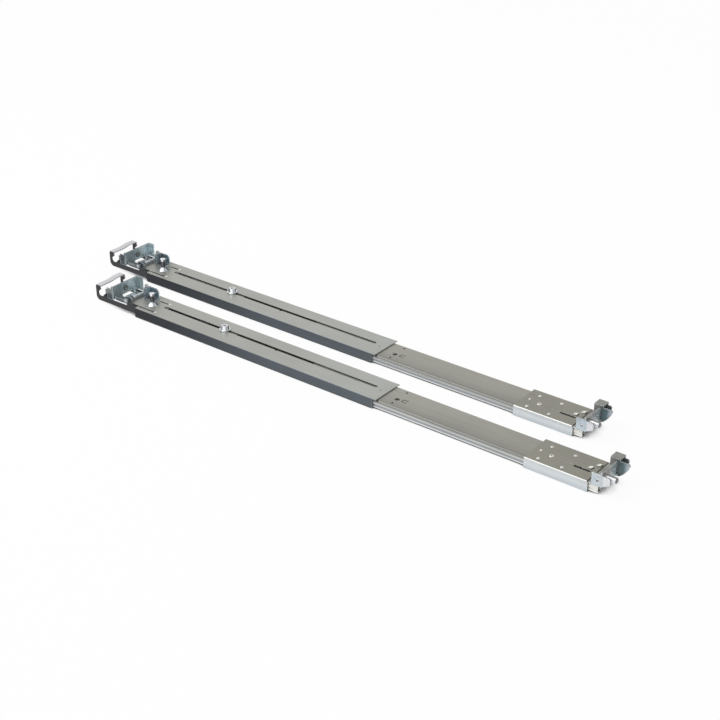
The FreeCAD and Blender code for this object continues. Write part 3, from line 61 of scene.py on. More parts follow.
# Painted highlight and painted shade down the outer member's flanks, from lip (0) to shoulder (1).
FLANK_LIGHT_BANDS = ((0.0, (240, 242, 244)), (0.08, (225, 228, 230)), (0.16, (188, 191, 194)),
              (0.28, (164, 167, 170)), (0.37, (136, 138, 141)), (0.47, (178, 180, 180)),
              (0.58, (206, 208, 207)), (0.68, (170, 171, 169)), (0.79, (124, 125, 121)),
              (1.0, (104, 104, 100)))
NOSE_FADE = 0.001


def linear(colour):
    """A colour of 0 to 255 as linear light, by the sRGB curve."""
    part = np.array(colour) / 255.0
    return np.where(part > 0.04045, ((part + 0.055) / 1.055) ** 2.4, part / 12.92)


def add(tree, kind, **settings):
    """A node of one kind with its properties set."""
    node = tree.nodes.new(kind)
    for name, value in settings.items():
        setattr(node, name, value)
    return node


def open_group(name, inputs, outputs):
    """A shader node group with number inputs and the named outputs, and its two end nodes."""
    tree = bpy.data.node_groups.new(name, "ShaderNodeTree")
    for label, default in inputs:
        socket = tree.interface.new_socket(label, in_out="INPUT", socket_type="NodeSocketFloat")
        socket.default_value = default
    for label, kind in outputs:
        tree.interface.new_socket(label, in_out="OUTPUT", socket_type="NodeSocket" + kind)
    return tree, add(tree, "NodeGroupInput"), add(tree, "NodeGroupOutput")


def math_node(tree, operation, first, second=None, clamp=False):
    """One step of arithmetic on a socket and a socket or number."""
    node = add(tree, "ShaderNodeMath", operation=operation, use_clamp=clamp)
    tree.links.new(first, node.inputs[0])
    if second is not None:
        if isinstance(second, (int, float)):
            node.inputs[1].default_value = second
        else:
            tree.links.new(second, node.inputs[1])
    return node.outputs[0]


def rolled_grain():
    """Marks of the rolls. Noise squeezed along X gives fine lines, and an even noise gives slow
    clouds; Tone is a blend of the two about 0.5, and Height is the lines alone."""
    tree, start, end = open_group("rolled_grain", (("Lines", 900.0), ("Clouds", 18.0)),
                                  (("Tone", "Float"), ("Height", "Float")))
    place = add(tree, "ShaderNodeTexCoord")
    squeeze = add(tree, "ShaderNodeVectorMath", operation="MULTIPLY")
    squeeze.inputs[1].default_value = (0.02, 1.0, 1.0)
    lines = add(tree, "ShaderNodeTexNoise")
    clouds = add(tree, "ShaderNodeTexNoise")
    blend = add(tree, "ShaderNodeMix", data_type="FLOAT")
    blend.inputs["Factor"].default_value = 0.45
    tree.links.new(place.outputs["Object"], squeeze.inputs[0])
    tree.links.new(squeeze.outputs[0], lines.inputs["Vector"])
    tree.links.new(place.outputs["Object"], clouds.inputs["Vector"])
    tree.links.new(start.outputs["Lines"], lines.inputs["Scale"])
    tree.links.new(start.outputs["Clouds"], clouds.inputs["Scale"])
    tree.links.new(lines.outputs["Fac"], blend.inputs["A"])
    tree.links.new(clouds.outputs["Fac"], blend.inputs["B"])
    tree.links.new(blend.outputs["Result"], end.inputs["Tone"])
    tree.links.new(lines.outputs["Fac"], end.inputs["Height"])
    return tree


def broken_edges():
    """Edges of pressed sheet. The surface's direction averaged over a small radius is the Normal,
    and Edge is how far that has turned: 1 on an edge, 0 on a flat."""
    tree, start, end = open_group("broken_edges", (("Radius", 0.0004),),
                                  (("Edge", "Float"), ("Normal", "Vector")))
    bevel = add(tree, "ShaderNodeBevel", samples=6)
    shape = add(tree, "ShaderNodeNewGeometry")
    turned = add(tree, "ShaderNodeVectorMath", operation="DOT_PRODUCT")
    mask = add(tree, "ShaderNodeMapRange")
    mask.inputs["From Min"].default_value = 0.985
    mask.inputs["From Max"].default_value = 0.75
    tree.links.new(start.outputs["Radius"], bevel.inputs["Radius"])
    tree.links.new(bevel.outputs["Normal"], turned.inputs[0])
    tree.links.new(shape.outputs["True Normal"], turned.inputs[1])
    tree.links.new(turned.outputs["Value"], mask.inputs["Value"])
    tree.links.new(mask.outputs["Result"], end.inputs["Edge"])
    tree.links.new(bevel.outputs["Normal"], end.inputs["Normal"])
    return tree


def which_face():
    """Masks of the side that a face looks to, from the object's own normal: Flank is 1 across the
    rail, End is 1 along it and Level is 1 upwards. Each rises about a turn of 30 degrees."""
    tree, start, end = open_group("which_face", (("Sharpness", 3.0),),
                                  (("Flank", "Float"), ("End", "Float"), ("Level", "Float")))
    place = add(tree, "ShaderNodeTexCoord")
    parts = add(tree, "ShaderNodeSeparateXYZ")
    tree.links.new(place.outputs["Normal"], parts.inputs[0])
    for label, axis in (("Flank", "Y"), ("End", "X"), ("Level", "Z")):
        value = parts.outputs[axis]
        if label != "Level":
            value = math_node(tree, "ABSOLUTE", value)
        value = math_node(tree, "SUBTRACT", value, 0.5)
        value = math_node(tree, "MULTIPLY", value, start.outputs["Sharpness"])
        value = math_node(tree, "ADD", value, 0.5, clamp=True)
        tree.links.new(value, end.inputs[label])
    return tree


GRAIN, EDGES, FACES = rolled_grain(), broken_edges(), which_face()


def group(tree, source, **values):
    """A node of a shared group with its inputs set."""
    node = add(tree, "ShaderNodeGroup", node_tree=source)
    for name, value in values.items():
        node.inputs[name].default_value = value
    return node


def ramp(tree, source, stops):
    """A colour ramp fed by a value; each stop is a place from 0 to 1 and a colour of 0 to 255."""
    node = add(tree, "ShaderNodeValToRGB")
    elements = node.color_ramp.elements
    while len(elements) < len(stops):
        elements.new(0.5)
    for element, (place, colour) in zip(elements, stops):
        element.position = place
        element.color = (*linear(colour), 1.0)
    tree.links.new(source, node.inputs["Fac"])
    return node.outputs["Color"]


def blend(tree, mask, first, second, mode="MIX"):
    """Two colours mixed by a mask; either may be a socket or a colour of 0 to 255."""
    node = add(tree, "ShaderNodeMix", data_type="RGBA", blend_type=mode)
    for name, value in (("Factor", mask), ("A", first), ("B", second)):
        socket = [item for item in node.inputs if item.name == name and item.enabled][0]
        if isinstance(value, (int, float)):
            socket.default_value = value
        elif isinstance(value, tuple):
            socket.default_value = (*linear(value), 1.0)
        else:
            tree.links.new(value, socket)
    return [item for item in node.outputs if item.enabled][0]


def across(tree, axis, low, high):
    """0 at one place along an axis of the object and 1 at another."""
    place = add(tree, "ShaderNodeTexCoord")
    parts = add(tree, "ShaderNodeSeparateXYZ")
    span = add(tree, "ShaderNodeMapRange")
    span.inputs["From Min"].default_value = low
    span.inputs["From Max"].default_value = high
    tree.links.new(place.outputs["Object"], parts.inputs[0])
    tree.links.new(parts.outputs[axis], span.inputs["Value"])
    return span.outputs["Result"]


def start_metal(name):
    """A new material's tree, its shader, and the face masks that its colours are built on."""
    material = bpy.data.materials.new(name)
    material.use_nodes = True
    tree = material.node_tree
    return material, tree, tree.nodes["Principled BSDF"], group(tree, FACES)


def end_metal(tree, shader, colour, metallic=0.6, roughness=0.36, spread=0.07, contrast=0.1,
              lines=900.0, clouds=18.0, worn=(222, 222, 216), wear=0.5, shield=None, radius=0.0004,
              bump=0.05):
    """The finish over a metal's colour: tone and roughness drift with the rolled grain, broken
    edges are made lighter and smoother, partly for scuffing and partly as a painted highlight, and
    the grain raises fine lines. A shield names the faces whose edges stay as they are."""
    shader.inputs["Metallic"].default_value = metallic
    grain = group(tree, GRAIN, Lines=lines, Clouds=clouds)
    edges = group(tree, EDGES, Radius=radius)
    tone = add(tree, "ShaderNodeMapRange")
    tone.inputs["From Min"].default_value = 0.3
    tone.inputs["From Max"].default_value = 0.7
    tone.inputs["To Min"].default_value = 1.0 - contrast
    tone.inputs["To Max"].default_value = 1.0 + contrast
    tree.links.new(grain.outputs["Tone"], tone.inputs["Value"])
    toned = add(tree, "ShaderNodeVectorMath", operation="SCALE")
    tree.links.new(colour, toned.inputs[0])
    tree.links.new(tone.outputs["Result"], toned.inputs["Scale"])
    # Broken edges are lightened, partly for scuffing and partly as a painted highlight.
    scuffed_and_highlit = math_node(tree, "MULTIPLY", edges.outputs["Edge"], wear)
    if shield:
        open_to_wear = math_node(tree, "SUBTRACT", group(tree, FACES).outputs[shield], 1.0)
        scuffed_and_highlit = math_node(tree, "MULTIPLY", scuffed_and_highlit, math_node(tree, "MULTIPLY", open_to_wear, -1.0))
    tree.links.new(blend(tree, scuffed_and_highlit, toned.outputs[0], worn), shader.inputs["Base Color"])
    gloss = add(tree, "ShaderNodeMapRange")
    gloss.inputs["To Min"].default_value = roughness - spread
    gloss.inputs["To Max"].default_value = roughness + spread
    tree.links.new(grain.outputs["Tone"], gloss.inputs["Value"])
    smoother = math_node(tree, "MULTIPLY", scuffed_and_highlit, -0.15)
    tree.links.new(math_node(tree, "ADD", gloss.outputs["Result"], smoother), shader.inputs["Roughness"])
    relief = add(tree, "ShaderNodeBump")
    relief.inputs["Strength"].default_value = bump
    relief.inputs["Distance"].default_value = 0.0002
    tree.links.new(grain.outputs["Height"], relief.inputs["Height"])
    tree.links.new(edges.outputs["Normal"], relief.inputs["Normal"])
    tree.links.new(relief.outputs["Normal"], shader.inputs["Normal"])


def dress(make, *pieces):
    """Make each rail's material and give it to that rail's nodes of these names."""
    for rail in RAILS:
        material = make(rail)
        for piece in pieces:
            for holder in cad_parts["%s_%s" % (piece, rail)].material_slots:
                holder.material = material


def slide_steel(rail):
    """Bare rolled steel: a warm grey web with painted shade along its near edge, flanks banded with
    painted highlight and shade from lip to shoulder, and a painted highlight ahead of the cover plate."""
    material, tree, shader, faces = start_metal("slide_steel_" + rail)
    low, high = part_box("front_section_" + rail)
    # The flanks carry painted highlight and painted shade in bands up their height.
    painted_flank_light = ramp(tree, across(tree, "Z", low[2], high[2]), FLANK_LIGHT_BANDS)
    drift = ramp(tree, across(tree, "X", low[0], high[0]),
                 ((0.0, (161, 160, 151)), (1.0, (149, 147, 138))))
    # Painted shade along the web's near edge, where it turns down into the flank.
    painted_edge_shade = ramp(tree, across(tree, "Y", low[1], high[1]),
                  ((0.0, (186, 186, 186)), (0.05, (192, 192, 192)), (0.09, (228, 229, 231)),
                   (0.3, (243, 244, 246)), (0.6, (255, 255, 255))))
    web = blend(tree, 1.0, drift, painted_edge_shade, mode="MULTIPLY")
    cover_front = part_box("front_cover_plate_" + rail)[1][0]
    # Painted highlight on the flank ahead of the cover plate.
    painted_nose_highlight = across(tree, "X", cover_front - NOSE_FADE, cover_front)
    painted_flank_light = blend(tree, math_node(tree, "MULTIPLY", painted_nose_highlight, 0.85), painted_flank_light, (250, 249, 244))
    end_metal(tree, shader, blend(tree, faces.outputs["Flank"], web, painted_flank_light), lines=700.0, wear=0.05)
    return material


dress(slide_steel, "front_section")


# ---- Inner members and balls -------------------------------------------------------------------
# Two narrower rolled channels nest in the outer one. They run on rows of hardened balls, polished
# bright, that thin pressed cages keep apart.

def plain_metal(name, top, flank=None, **finish):
    """A maker of metals with one colour for level faces and, where given, another for the rest."""
    def make(rail):
        material, tree, shader, faces = start_metal(name + "_" + rail)
        colour = blend(tree, faces.outputs["Flank"], top, flank or top)
        colour = blend(tree, faces.outputs["End"], colour, flank or top)
        end_metal(tree, shader, colour, **finish)
        return material
    return make


# The inner members' flanks and ends are painted near white, a painted reflection; their level faces keep the
# grey of the steel.
dress(plain_metal("member_steel", (158, 156, 148), (226, 228, 226), metallic=0.4), "intermediate_member",
      "inner_member")
dress(plain_metal("cage_steel", (138, 139, 137), roughness=0.45), "outer_ball_cage", "inner_ball_cage")
dress(plain_metal("ball_steel", (208, 210, 212), metallic=1.0, roughness=0.12, spread=0.04,
                  contrast=0.02, wear=0.0), "outer_balls", "inner_balls")


# ---- Catch and bumper of the inner member ------------------------------------------------------
# A flat spring-steel lever turns on a headed pin riveted through the inner member, and a block of
# moulded rubber under the closed end of the outer member takes the shock when the slide is shut.

SPRING_STEEL = plain_metal("spring_steel", (70, 70, 72), roughness=0.3, worn=(150, 150, 152))
dress(SPRING_STEEL, "lock_lever")
PIN_STEEL = plain_metal("pin_steel", (196, 194, 186), (206, 206, 202), roughness=0.26, clouds=160.0)
dress(PIN_STEEL, "lock_pin")


def moulded_rubber(rail):
    """Matt black rubber with a fine moulded texture and a little pale dust in its clouds."""
    material, tree, shader, faces = start_metal("moulded_rubber_" + rail)
    end_metal(tree, shader, blend(tree, faces.outputs["Flank"], (30, 30, 31), (25, 25, 26)),
              metallic=0.0, roughness=0.78, contrast=0.25, lines=3000.0, clouds=400.0,
              worn=(58, 58, 58), wear=0.4, bump=0.3)
    return material


dress(moulded_rubber, "stop_bumper")


# ---- Front cover plate -------------------------------------------------------------------------
# A shorter channel of the same steel, riveted over the front of the slide. Its top keeps the warm
# grey of the mill; its flanks are painted pale, a painted reflection. Four rivets hold it, and two
# hold the bracket.

TONGUE_RISE = 0.0014


def cover_steel(rail):
    """Warm grey on top and pale, slightly blue flanks banded up their height, a painted reflection;
    what is pressed up is lighter.
    """
    material, tree, shader, faces = start_metal("cover_steel_" + rail)
    low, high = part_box("front_cover_plate_" + rail)
    top = high[2] - TONGUE_RISE
    # Painted reflection: pale flanks, banded up their height.
    flank = ramp(tree, across(tree, "Z", low[2], top),
                 ((0.0, (196, 204, 210)), (0.55, (216, 221, 224)), (0.85, (205, 210, 213)),
                  (1.0, (222, 222, 218))))
    web = ramp(tree, across(tree, "Z", top, high[2]),
               ((0.0, (137, 135, 125)), (0.15, (137, 135, 125)), (0.5, (232, 230, 222))))
    end_metal(tree, shader, blend(tree, faces.outputs["Flank"], web, flank), lines=800.0,
              clouds=30.0, roughness=0.34, wear=0.3)
    return material


dress(cover_steel, "front_cover_plate")
dress(PIN_STEEL, "front_rivets", "front_latch_pin")
dress(SPRING_STEEL, "front_latch_spring")


# ---- Brackets ----------------------------------------------------------------------------------
# Blanked and folded sheet that seats on the rack's posts, under clear blue zinc. The plating
# breaks into small crystals, and drifts from blue to straw.

def zinc_crystals():
    """Plating seen close up. Flat-toned cells a few millimetres across, softened by an even noise,
    give Tone; a slower noise, steepened about its middle, gives Tint from 0 (blue) to 1 (straw)."""
    tree, start, end = open_group("zinc_crystals", (("Cells", 420.0), ("Drift", 70.0)),
                                  (("Tone", "Float"), ("Tint", "Float")))
    place = add(tree, "ShaderNodeTexCoord")
    cells = add(tree, "ShaderNodeTexVoronoi", feature="F1")
    split = add(tree, "ShaderNodeSeparateColor")
    fine = add(tree, "ShaderNodeTexNoise")
    slow = add(tree, "ShaderNodeTexNoise")
    for node in (cells, fine, slow):
        tree.links.new(place.outputs["Object"], node.inputs["Vector"])
    tree.links.new(start.outputs["Cells"], cells.inputs["Scale"])
    tree.links.new(start.outputs["Cells"], fine.inputs["Scale"])
    tree.links.new(start.outputs["Drift"], slow.inputs["Scale"])
    tree.links.new(cells.outputs["Color"], split.inputs[0])
    soft = add(tree, "ShaderNodeMix", data_type="FLOAT")
    soft.inputs["Factor"].default_value = 0.6
    tree.links.new(split.outputs[0], soft.inputs["A"])
    tree.links.new(fine.outputs["Fac"], soft.inputs["B"])
    tree.links.new(soft.outputs["Result"], end.inputs["Tone"])
    steep = add(tree, "ShaderNodeMapRange")
    steep.inputs["From Min"].default_value = 0.38
    steep.inputs["From Max"].default_value = 0.62
    tree.links.new(slow.outputs["Fac"], steep.inputs["Value"])
    tree.links.new(steep.outputs["Result"], end.inputs["Tint"])
    return tree


CRYSTALS = zinc_crystals()


def crystallise(tree, colour, straw=(178, 180, 170), amount=0.3, darkest=(206, 210, 213)):
    """A zinc colour broken up by crystals and drifting towards straw."""
    crystals = group(tree, CRYSTALS)
    drift = math_node(tree, "MULTIPLY", crystals.outputs["Tint"], amount)
    shade = ramp(tree, crystals.outputs["Tone"], ((0.2, darkest), (0.8, (255, 255, 255))))
    return blend(tree, 1.0, blend(tree, drift, colour, straw), shade, mode="MULTIPLY")


def disc(tree, axis_y, axis_z, radius):
    """1 within a radius of an axis along X, else 0."""
    place = add(tree, "ShaderNodeTexCoord")
    middle = add(tree, "ShaderNodeVectorMath", operation="SUBTRACT")
    flat = add(tree, "ShaderNodeVectorMath", operation="MULTIPLY")
    reach = add(tree, "ShaderNodeVectorMath", operation="LENGTH")
    middle.inputs[1].default_value = (0.0, axis_y, axis_z)
    flat.inputs[1].default_value = (0.0, 1.0, 1.0)
    tree.links.new(place.outputs["Object"], middle.inputs[0])
    tree.links.new(middle.outputs[0], flat.inputs[0])
    tree.links.new(flat.outputs[0], reach.inputs[0])
    return math_node(tree, "LESS_THAN", reach.outputs["Value"], radius)


# The zinc's broken edges and bends are lightened nearly to white over a wide radius, a painted highlight.
ZINC = dict(shield="Level", metallic=0.45, roughness=0.28, worn=(244, 250, 252), wear=0.85,
            radius=0.0009, clouds=120.0)
SCREW_HOLE_SHADE = 0.00363
SCREW_HOLE_BELOW = 0.0085


def rear_zinc(rail):
    """Bluish plating with painted light: painted shade on the level edges and near cheek, a painted
    highlight on the far cheek, a plate between them painted darker towards its near side, and a
    dark disc of painted shade where its screw hole would be."""
    material, tree, shader, faces = start_metal("rear_zinc_" + rail)
    low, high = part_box("rear_bracket_" + rail)
    # Painted shade on the near cheek, rising to a painted highlight on the far one.
    cheeks = ramp(tree, across(tree, "Y", low[1], high[1]),
                  ((0.0, (66, 74, 82)), (0.12, (84, 96, 106)), (0.3, (176, 198, 208)), (0.6, (222, 242, 248)),
                   (1.0, (224, 244, 250))))
    # The plate between is painted darker towards its near side, a painted shade.
    plate = ramp(tree, across(tree, "Y", low[1], high[1]),
                 ((0.0, (160, 178, 188)), (0.35, (168, 186, 194)), (0.75, (212, 234, 242)),
                  (1.0, (226, 246, 252))))
    # Level edges painted dark, a painted shade.
    colour = blend(tree, faces.outputs["Flank"], (104, 106, 106), cheeks)
    colour = blend(tree, faces.outputs["End"], colour, plate)
    # A dark disc of painted shade stands for the screw hole.
    shade = disc(tree, (low[1] + high[1]) / 2, high[2] - SCREW_HOLE_BELOW, SCREW_HOLE_SHADE)
    colour = blend(tree, shade, colour, (20, 28, 30))
    end_metal(tree, shader, crystallise(tree, colour, (170, 178, 174), 0.5), **ZINC)
    return material


dress(rear_zinc, "rear_bracket", "rear_latch_hook")


def guard_zinc(rail):
    """Darker plating with painted light: a dull level rim, painted shade on its bluish flanks and a
    painted highlight on its ends.
    """
    material, tree, shader, faces = start_metal("guard_zinc_" + rail)
    # Painted shade on the flanks and a painted highlight on the ends of one plating.
    colour = blend(tree, faces.outputs["Flank"], (106, 102, 112), (108, 134, 144))
    colour = blend(tree, faces.outputs["End"], colour, (206, 226, 234))
    end_metal(tree, shader, crystallise(tree, colour, (120, 126, 122), 0.5), **ZINC)
    return material


dress(guard_zinc, "rear_latch_guard")


def front_zinc(rail):
    """Warm level base, a pale ear, a prong ahead of it painted nearly white as a painted highlight,
    and a plate painted brownish and dark on its near side, a painted shade.
    """
    material, tree, shader, faces = start_metal("front_zinc_" + rail)
    low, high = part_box("front_bracket_" + rail)
    # The prong's flank is painted nearly white, a painted highlight.
    flank = ramp(tree, across(tree, "X", low[0], high[0]),
                 ((0.0, (205, 216, 224)), (0.52, (214, 224, 232)), (0.6, (250, 250, 252)),
                  (1.0, (250, 250, 252))))
    inboard = math_node(tree, "GREATER_THAN", across(tree, "Y", low[1], high[1]), 0.12)
    flank = blend(tree, inboard, flank, (176, 180, 182))
    # Painted shade: the plate is dark and brownish on its near side.
    plate = ramp(tree, across(tree, "Y", low[1], high[1]),
                 ((0.0, (104, 102, 100)), (0.3, (128, 130, 130)), (0.5, (176, 188, 192)),
                  (1.0, (190, 202, 206))))
    colour = blend(tree, faces.outputs["Flank"], (142, 140, 134), flank)
    colour = blend(tree, faces.outputs["End"], colour, plate)
    end_metal(tree, shader, crystallise(tree, colour, (206, 206, 200), 0.25, (226, 229, 232)), **ZINC)
    return material


dress(front_zinc, "front_bracket")


def stud_zinc(rail):
    """Turned steel under the same plating, nearly white."""
    material, tree, shader, faces = start_metal("stud_zinc_" + rail)
    colour = blend(tree, faces.outputs["End"], (206, 210, 213), (228, 230, 232))
    end_metal(tree, shader, crystallise(tree, colour), **ZINC)
    return material


dress(stud_zinc, "rear_pins", "rear_latch_shaft", "rear_latch_knob")


# ---- Front latch -------------------------------------------------------------------------------
# A small box folded from thinner sheet that turns on a pin in the bracket's lugs. Its cheeks run
# on as hooks behind the post; the top, which the finger lifts, is left in the grey of the steel.

def latch_zinc(rail):
    """Brushed grey top and box; cheeks with a painted highlight at their rear bend, painted shade on
    the bluish hooks ahead of it and a light front rim; end faces in painted shade for a dark mouth.
    """
    material, tree, shader, faces = start_metal("latch_zinc_" + rail)
    low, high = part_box("front_latch_" + rail)
    # Painted highlight at the rear bend and the front rim of the cheeks, painted shade on the hooks between.
    cheek = ramp(tree, across(tree, "X", low[0], high[0]),
                 ((0.0, (188, 188, 184)), (0.25, (150, 152, 150)), (0.45, (112, 128, 132)),
                  (0.7, (120, 142, 148)), (0.85, (190, 204, 212)), (1.0, (214, 220, 224))))
    colour = blend(tree, faces.outputs["Flank"], (140, 139, 134), cheek)
    # End faces painted dark, a painted shade in the box's mouth.
    colour = blend(tree, faces.outputs["End"], colour, (112, 112, 110))
    end_metal(tree, shader, crystallise(tree, colour, (160, 156, 146), 0.3, (222, 224, 226)), **ZINC)
    return material


dress(latch_zinc, "front_latch")


# ---- Rear section ------------------------------------------------------------------------------
# A wide pressed channel with the adjusting slot down its web. The web is pale bare steel; the
# flanks are painted dark, a painted reflection that lightens towards the front, with a painted
# highlight on their rear edge.

def rear_steel(rail):
    """Pale web, and flanks painted dark as a painted reflection that lightens along the rail, with a
    painted highlight at the rear edge.
    """
    material, tree, shader, faces = start_metal("rear_steel_" + rail)
    low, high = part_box("rear_section_" + rail)
    along = across(tree, "X", low[0], high[0])
    web = ramp(tree, along, ((0.0, (154, 155, 149)), (0.15, (163, 163, 157)), (1.0, (165, 167, 163))))
    # Painted reflection on the flanks: a painted highlight at the rear edge, then dark, lightening forwards.
    painted_flank_reflection = ramp(tree, along,
                ((0.0, (196, 194, 202)), (0.007, (190, 188, 196)), (0.011, (24, 29, 36)), (0.2, (34, 39, 46)),
                 (0.6, (80, 88, 95)), (1.0, (88, 96, 102))))
    end_metal(tree, shader, blend(tree, faces.outputs["Flank"], web, painted_flank_reflection), lines=800.0, metallic=0.5,
              worn=(206, 208, 204), wear=0.15)
    return material


dress(rear_steel, "rear_section")
dress(PIN_STEEL, "rear_rivets")


# ---- Guide bolt and release plunger ------------------------------------------------------------
# Turned and plated bright: the shoulder bolt that runs in the adjusting slot, and the plunger in
# its bush, which frees the rear latch.

def bright_plating(rail):
    """Turned and plated steel. Its tone goes round each turned piece in streaks of painted reflection:
    with a for the angle of the surface about the upright, it is 0.5 + 0.34 cos 2a + 0.2 cos 6a."""
    material, tree, shader, faces = start_metal("bright_plating_" + rail)
    place = add(tree, "ShaderNodeTexCoord")
    parts = add(tree, "ShaderNodeSeparateXYZ")
    tree.links.new(place.outputs["Normal"], parts.inputs[0])
    angle = math_node(tree, "ARCTAN2", parts.outputs["Y"], parts.outputs["X"])
    angle = math_node(tree, "ADD", angle, math.radians(60))
    slow = math_node(tree, "COSINE", math_node(tree, "MULTIPLY", angle, 2.0))
    fast = math_node(tree, "COSINE", math_node(tree, "MULTIPLY", angle, 6.0))
    tone = math_node(tree, "ADD", math_node(tree, "MULTIPLY", slow, 0.34), 0.5)
    tone = math_node(tree, "ADD", tone, math_node(tree, "MULTIPLY", fast, 0.2))
    # Painted reflection: dark and light streaks fixed round each turned piece.
    streaks = ramp(tree, tone, ((0.15, (52, 58, 62)), (0.45, (150, 158, 164)), (0.8, (250, 252, 253))))
    level = math_node(tree, "ABSOLUTE", parts.outputs["Z"])
    level = math_node(tree, "GREATER_THAN", level, 0.95)
    end_metal(tree, shader, blend(tree, level, streaks, (226, 228, 230)), metallic=0.85, roughness=0.14,
              spread=0.05, clouds=260.0, worn=(252, 252, 252), wear=0.4, radius=0.0003)
    return material


dress(bright_plating, "guide_bolt", "rear_release", "rear_release_bush")


# ---- Rear springs ------------------------------------------------------------------------------
# Dark drawn spring wire: one coil round the rear latch's shaft, and one that stands on the bush and
# lifts the plunger's cap.

dress(SPRING_STEEL, "rear_release_spring", "rear_latch_spring")


def release_spring(rail, turns=5, wire=0.00035, steps=28, around=10):
    """A helix of round wire that stands in for the solid one. At turn t its middle is at the coil's
    radius and the angle 2 pi t, and has risen evenly from foot to head. Rings of the wire are set
    square to it, and a disc closes each end."""
    node = "rear_release_spring_" + rail
    low, high = (np.array(corner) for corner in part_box(node))
    coil = (high[0] - low[0]) / 2 - wire
    rise = (high[2] - low[2] - 2 * wire) / turns
    t = np.linspace(0.0, turns, turns * steps + 1)[:, None]
    angle, nought = 2 * math.pi * t, np.zeros_like(t)
    outward = np.hstack((np.cos(angle), np.sin(angle), nought))
    along = np.hstack((-np.sin(angle) * coil, np.cos(angle) * coil, nought + rise / (2 * math.pi)))
    upward = np.cross(outward, along / np.linalg.norm(along, axis=1, keepdims=True))
    foot = np.array(((low[0] + high[0]) / 2, (low[1] + high[1]) / 2, low[2] + wire))
    middle = foot + coil * outward + np.hstack((nought, nought, rise * t))
    turn = np.linspace(0.0, 2 * math.pi, around, endpoint=False)[:, None]
    rings = middle[:, None] + wire * (np.cos(turn) * outward[:, None] + np.sin(turn) * upward[:, None])
    this = np.arange(around)
    after = (this + 1) % around
    start = np.arange(len(rings) - 1)[:, None] * around
    sides = np.stack((start + this, start + around + this, start + around + after, start + after),
                     axis=-1)
    ends = [this.tolist(), (this[::-1] + start[-1] + around).tolist()]
    mesh = bpy.data.meshes.new("release_spring_" + rail)
    mesh.from_pydata(rings.reshape(-1, 3).tolist(), [], sides.reshape(-1, 4).tolist() + ends)
    mesh.polygons.foreach_set("use_smooth", [True] * (len(mesh.polygons) - 2) + [False] * 2)
    mesh.materials.append(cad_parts[node].active_material)
    piece = bpy.data.objects.new(mesh.name, mesh)
    bpy.context.collection.objects.link(piece)
    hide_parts(node)
    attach(piece, "rear_adjuster_" + rail)
    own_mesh(piece)


for rail in RAILS:
    release_spring(rail)


# ---- Tail bail ---------------------------------------------------------------------------------
# One strap bent up from inside the rear section and across behind the bracket. It is blackened,
# and the top of the bridge carries a pale painted highlight.

# Depths below the bail's top over which the painted highlight fades in.
TOP_HIGHLIGHT_FROM, TOP_HIGHLIGHT_THROUGH = 0.006, 0.004


def blackened_strap(rail):
    """Satin black, with a pale painted highlight on the level top."""
    material, tree, shader, faces = start_metal("blackened_strap_" + rail)
    low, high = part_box("tail_bail_" + rail)
    # Painted highlight on the level top of the bridge.
    worn_top = across(tree, "Z", high[2] - TOP_HIGHLIGHT_FROM, high[2] - TOP_HIGHLIGHT_THROUGH)
    colour = blend(tree, worn_top, (52, 53, 57), (200, 200, 203))
    colour = blend(tree, faces.outputs["Flank"], colour, (44, 45, 49))
    end_metal(tree, shader, colour, metallic=0.35, roughness=0.38, worn=(120, 120, 124), wear=0.5)
    return material


dress(blackened_strap, "tail_bail")


# ---- Floor, light and camera -------------------------------------------------------------------
# A plain white floor that keeps a soft shadow, even light from all round with one large soft lamp
# above and to the left, and a camera that looks down the rails from their front.

def seen_directly(tree):
    """1 for rays from the camera and for those mirrored or let through, else 0."""
    paths = add(tree, "ShaderNodeLightPath")
    seen = math_node(tree, "MAXIMUM", paths.outputs["Is Camera Ray"], paths.outputs["Is Glossy Ray"])
    return math_node(tree, "MAXIMUM", seen, paths.outputs["Is Transmission Ray"])


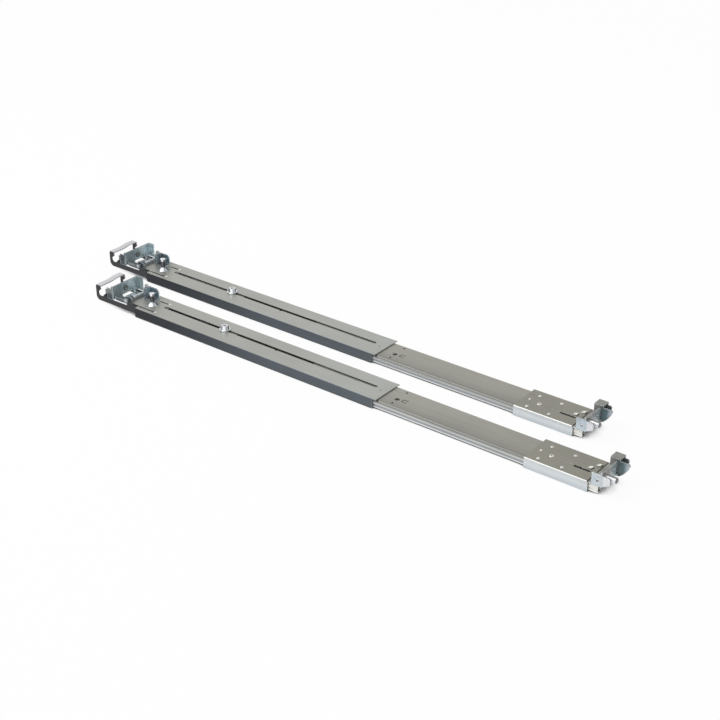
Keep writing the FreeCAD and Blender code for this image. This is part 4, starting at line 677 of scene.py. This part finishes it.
def plain_floor(size=8.0):
    """A flat square under the rails. To the camera and to reflections its open part is plain white,
    and where the rails close it in its colour is painted dark as well, a painted shadow under them."""
    mesh = bpy.data.meshes.new("floor")
    half = size / 2
    mesh.from_pydata([(-half, -half, 0), (half, -half, 0), (half, half, 0), (-half, half, 0)], [],
                     [(0, 1, 2, 3)])
    floor = bpy.data.objects.new("floor", mesh)
    bpy.context.collection.objects.link(floor)
    material = bpy.data.materials.new("floor_white")
    material.use_nodes = True
    tree = material.node_tree
    shader = tree.nodes["Principled BSDF"]
    shader.inputs["Roughness"].default_value = 0.9
    shut_in = add(tree, "ShaderNodeAmbientOcclusion", samples=8)
    shut_in.inputs["Distance"].default_value = 0.04
    lit = add(tree, "ShaderNodeMapRange")
    lit.inputs["From Min"].default_value = 0.2
    lit.inputs["From Max"].default_value = 0.5
    lit.inputs["To Max"].default_value = 0.94
    tree.links.new(shut_in.outputs["AO"], lit.inputs["Value"])
    # Painted shadow: the floor's own colour darkens where the rails close it in.
    painted_floor_shadow = ramp(tree, shut_in.outputs["AO"], ((0.15, (70, 70, 68)), (0.5, (246, 246, 246))))
    tree.links.new(painted_floor_shadow, shader.inputs["Base Color"])
    share = math_node(tree, "MULTIPLY", seen_directly(tree), lit.outputs["Result"])
    white = add(tree, "ShaderNodeEmission")
    mix = add(tree, "ShaderNodeMixShader")
    tree.links.new(share, mix.inputs[0])
    tree.links.new(shader.outputs[0], mix.inputs[1])
    tree.links.new(white.outputs[0], mix.inputs[2])
    tree.links.new(mix.outputs[0], tree.nodes["Material Output"].inputs["Surface"])
    mesh.materials.append(material)


plain_floor()


def white_room(fill=0.75):
    """A plain white all round: at full strength where it's seen, and less where it lights."""
    world = bpy.data.worlds.new("studio")
    bpy.context.scene.world = world
    world.use_nodes = True
    tree = world.node_tree
    sky = tree.nodes["Background"]
    sky.inputs["Color"].default_value = (1, 1, 1, 1)
    strength = add(tree, "ShaderNodeMapRange")
    strength.inputs["To Min"].default_value = fill
    tree.links.new(seen_directly(tree), strength.inputs["Value"])
    tree.links.new(strength.outputs["Result"], sky.inputs["Strength"])


white_room()


def soft_light(name, place, size, watts):
    """A square area lamp that faces the middle of the pair."""
    lamp = bpy.data.lights.new(name, "AREA")
    lamp.size = size
    lamp.energy = watts
    holder = bpy.data.objects.new(name, lamp)
    holder.location = place
    holder.rotation_euler = Vector(place).to_track_quat("Z", "Y").to_euler()
    bpy.context.collection.objects.link(holder)


soft_light("key", (-1.2, -1.0, 2.0), 1.2, 18)

AZIMUTH = math.radians(37.83)
ELEVATION = math.radians(28.04)
DISTANCE = 1.5017
LENS = 67.63
AIM_FROM_CORNER = Vector((-0.005, -0.01957, -0.0005))


def set_camera():
    """Aim just beside the near front corner of rail a's rear section, from ahead of the rails, on
    their near side and above them."""
    low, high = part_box("rear_section_a")
    aim = Vector((high[0], low[1], high[2])) + AIM_FROM_CORNER
    back = Vector((math.sin(AZIMUTH) * math.cos(ELEVATION), -math.cos(AZIMUTH) * math.cos(ELEVATION),
                   math.sin(ELEVATION)))
    camera = bpy.data.objects.new("camera", bpy.data.cameras.new("camera"))
    camera.data.lens = LENS
    camera.data.clip_start = 0.05
    camera.location = aim + back * DISTANCE
    camera.rotation_euler = back.to_track_quat("Z", "Y").to_euler()
    bpy.context.collection.objects.link(camera)
    bpy.context.scene.camera = camera


set_camera()
bpy.context.scene.view_settings.view_transform = "Standard"
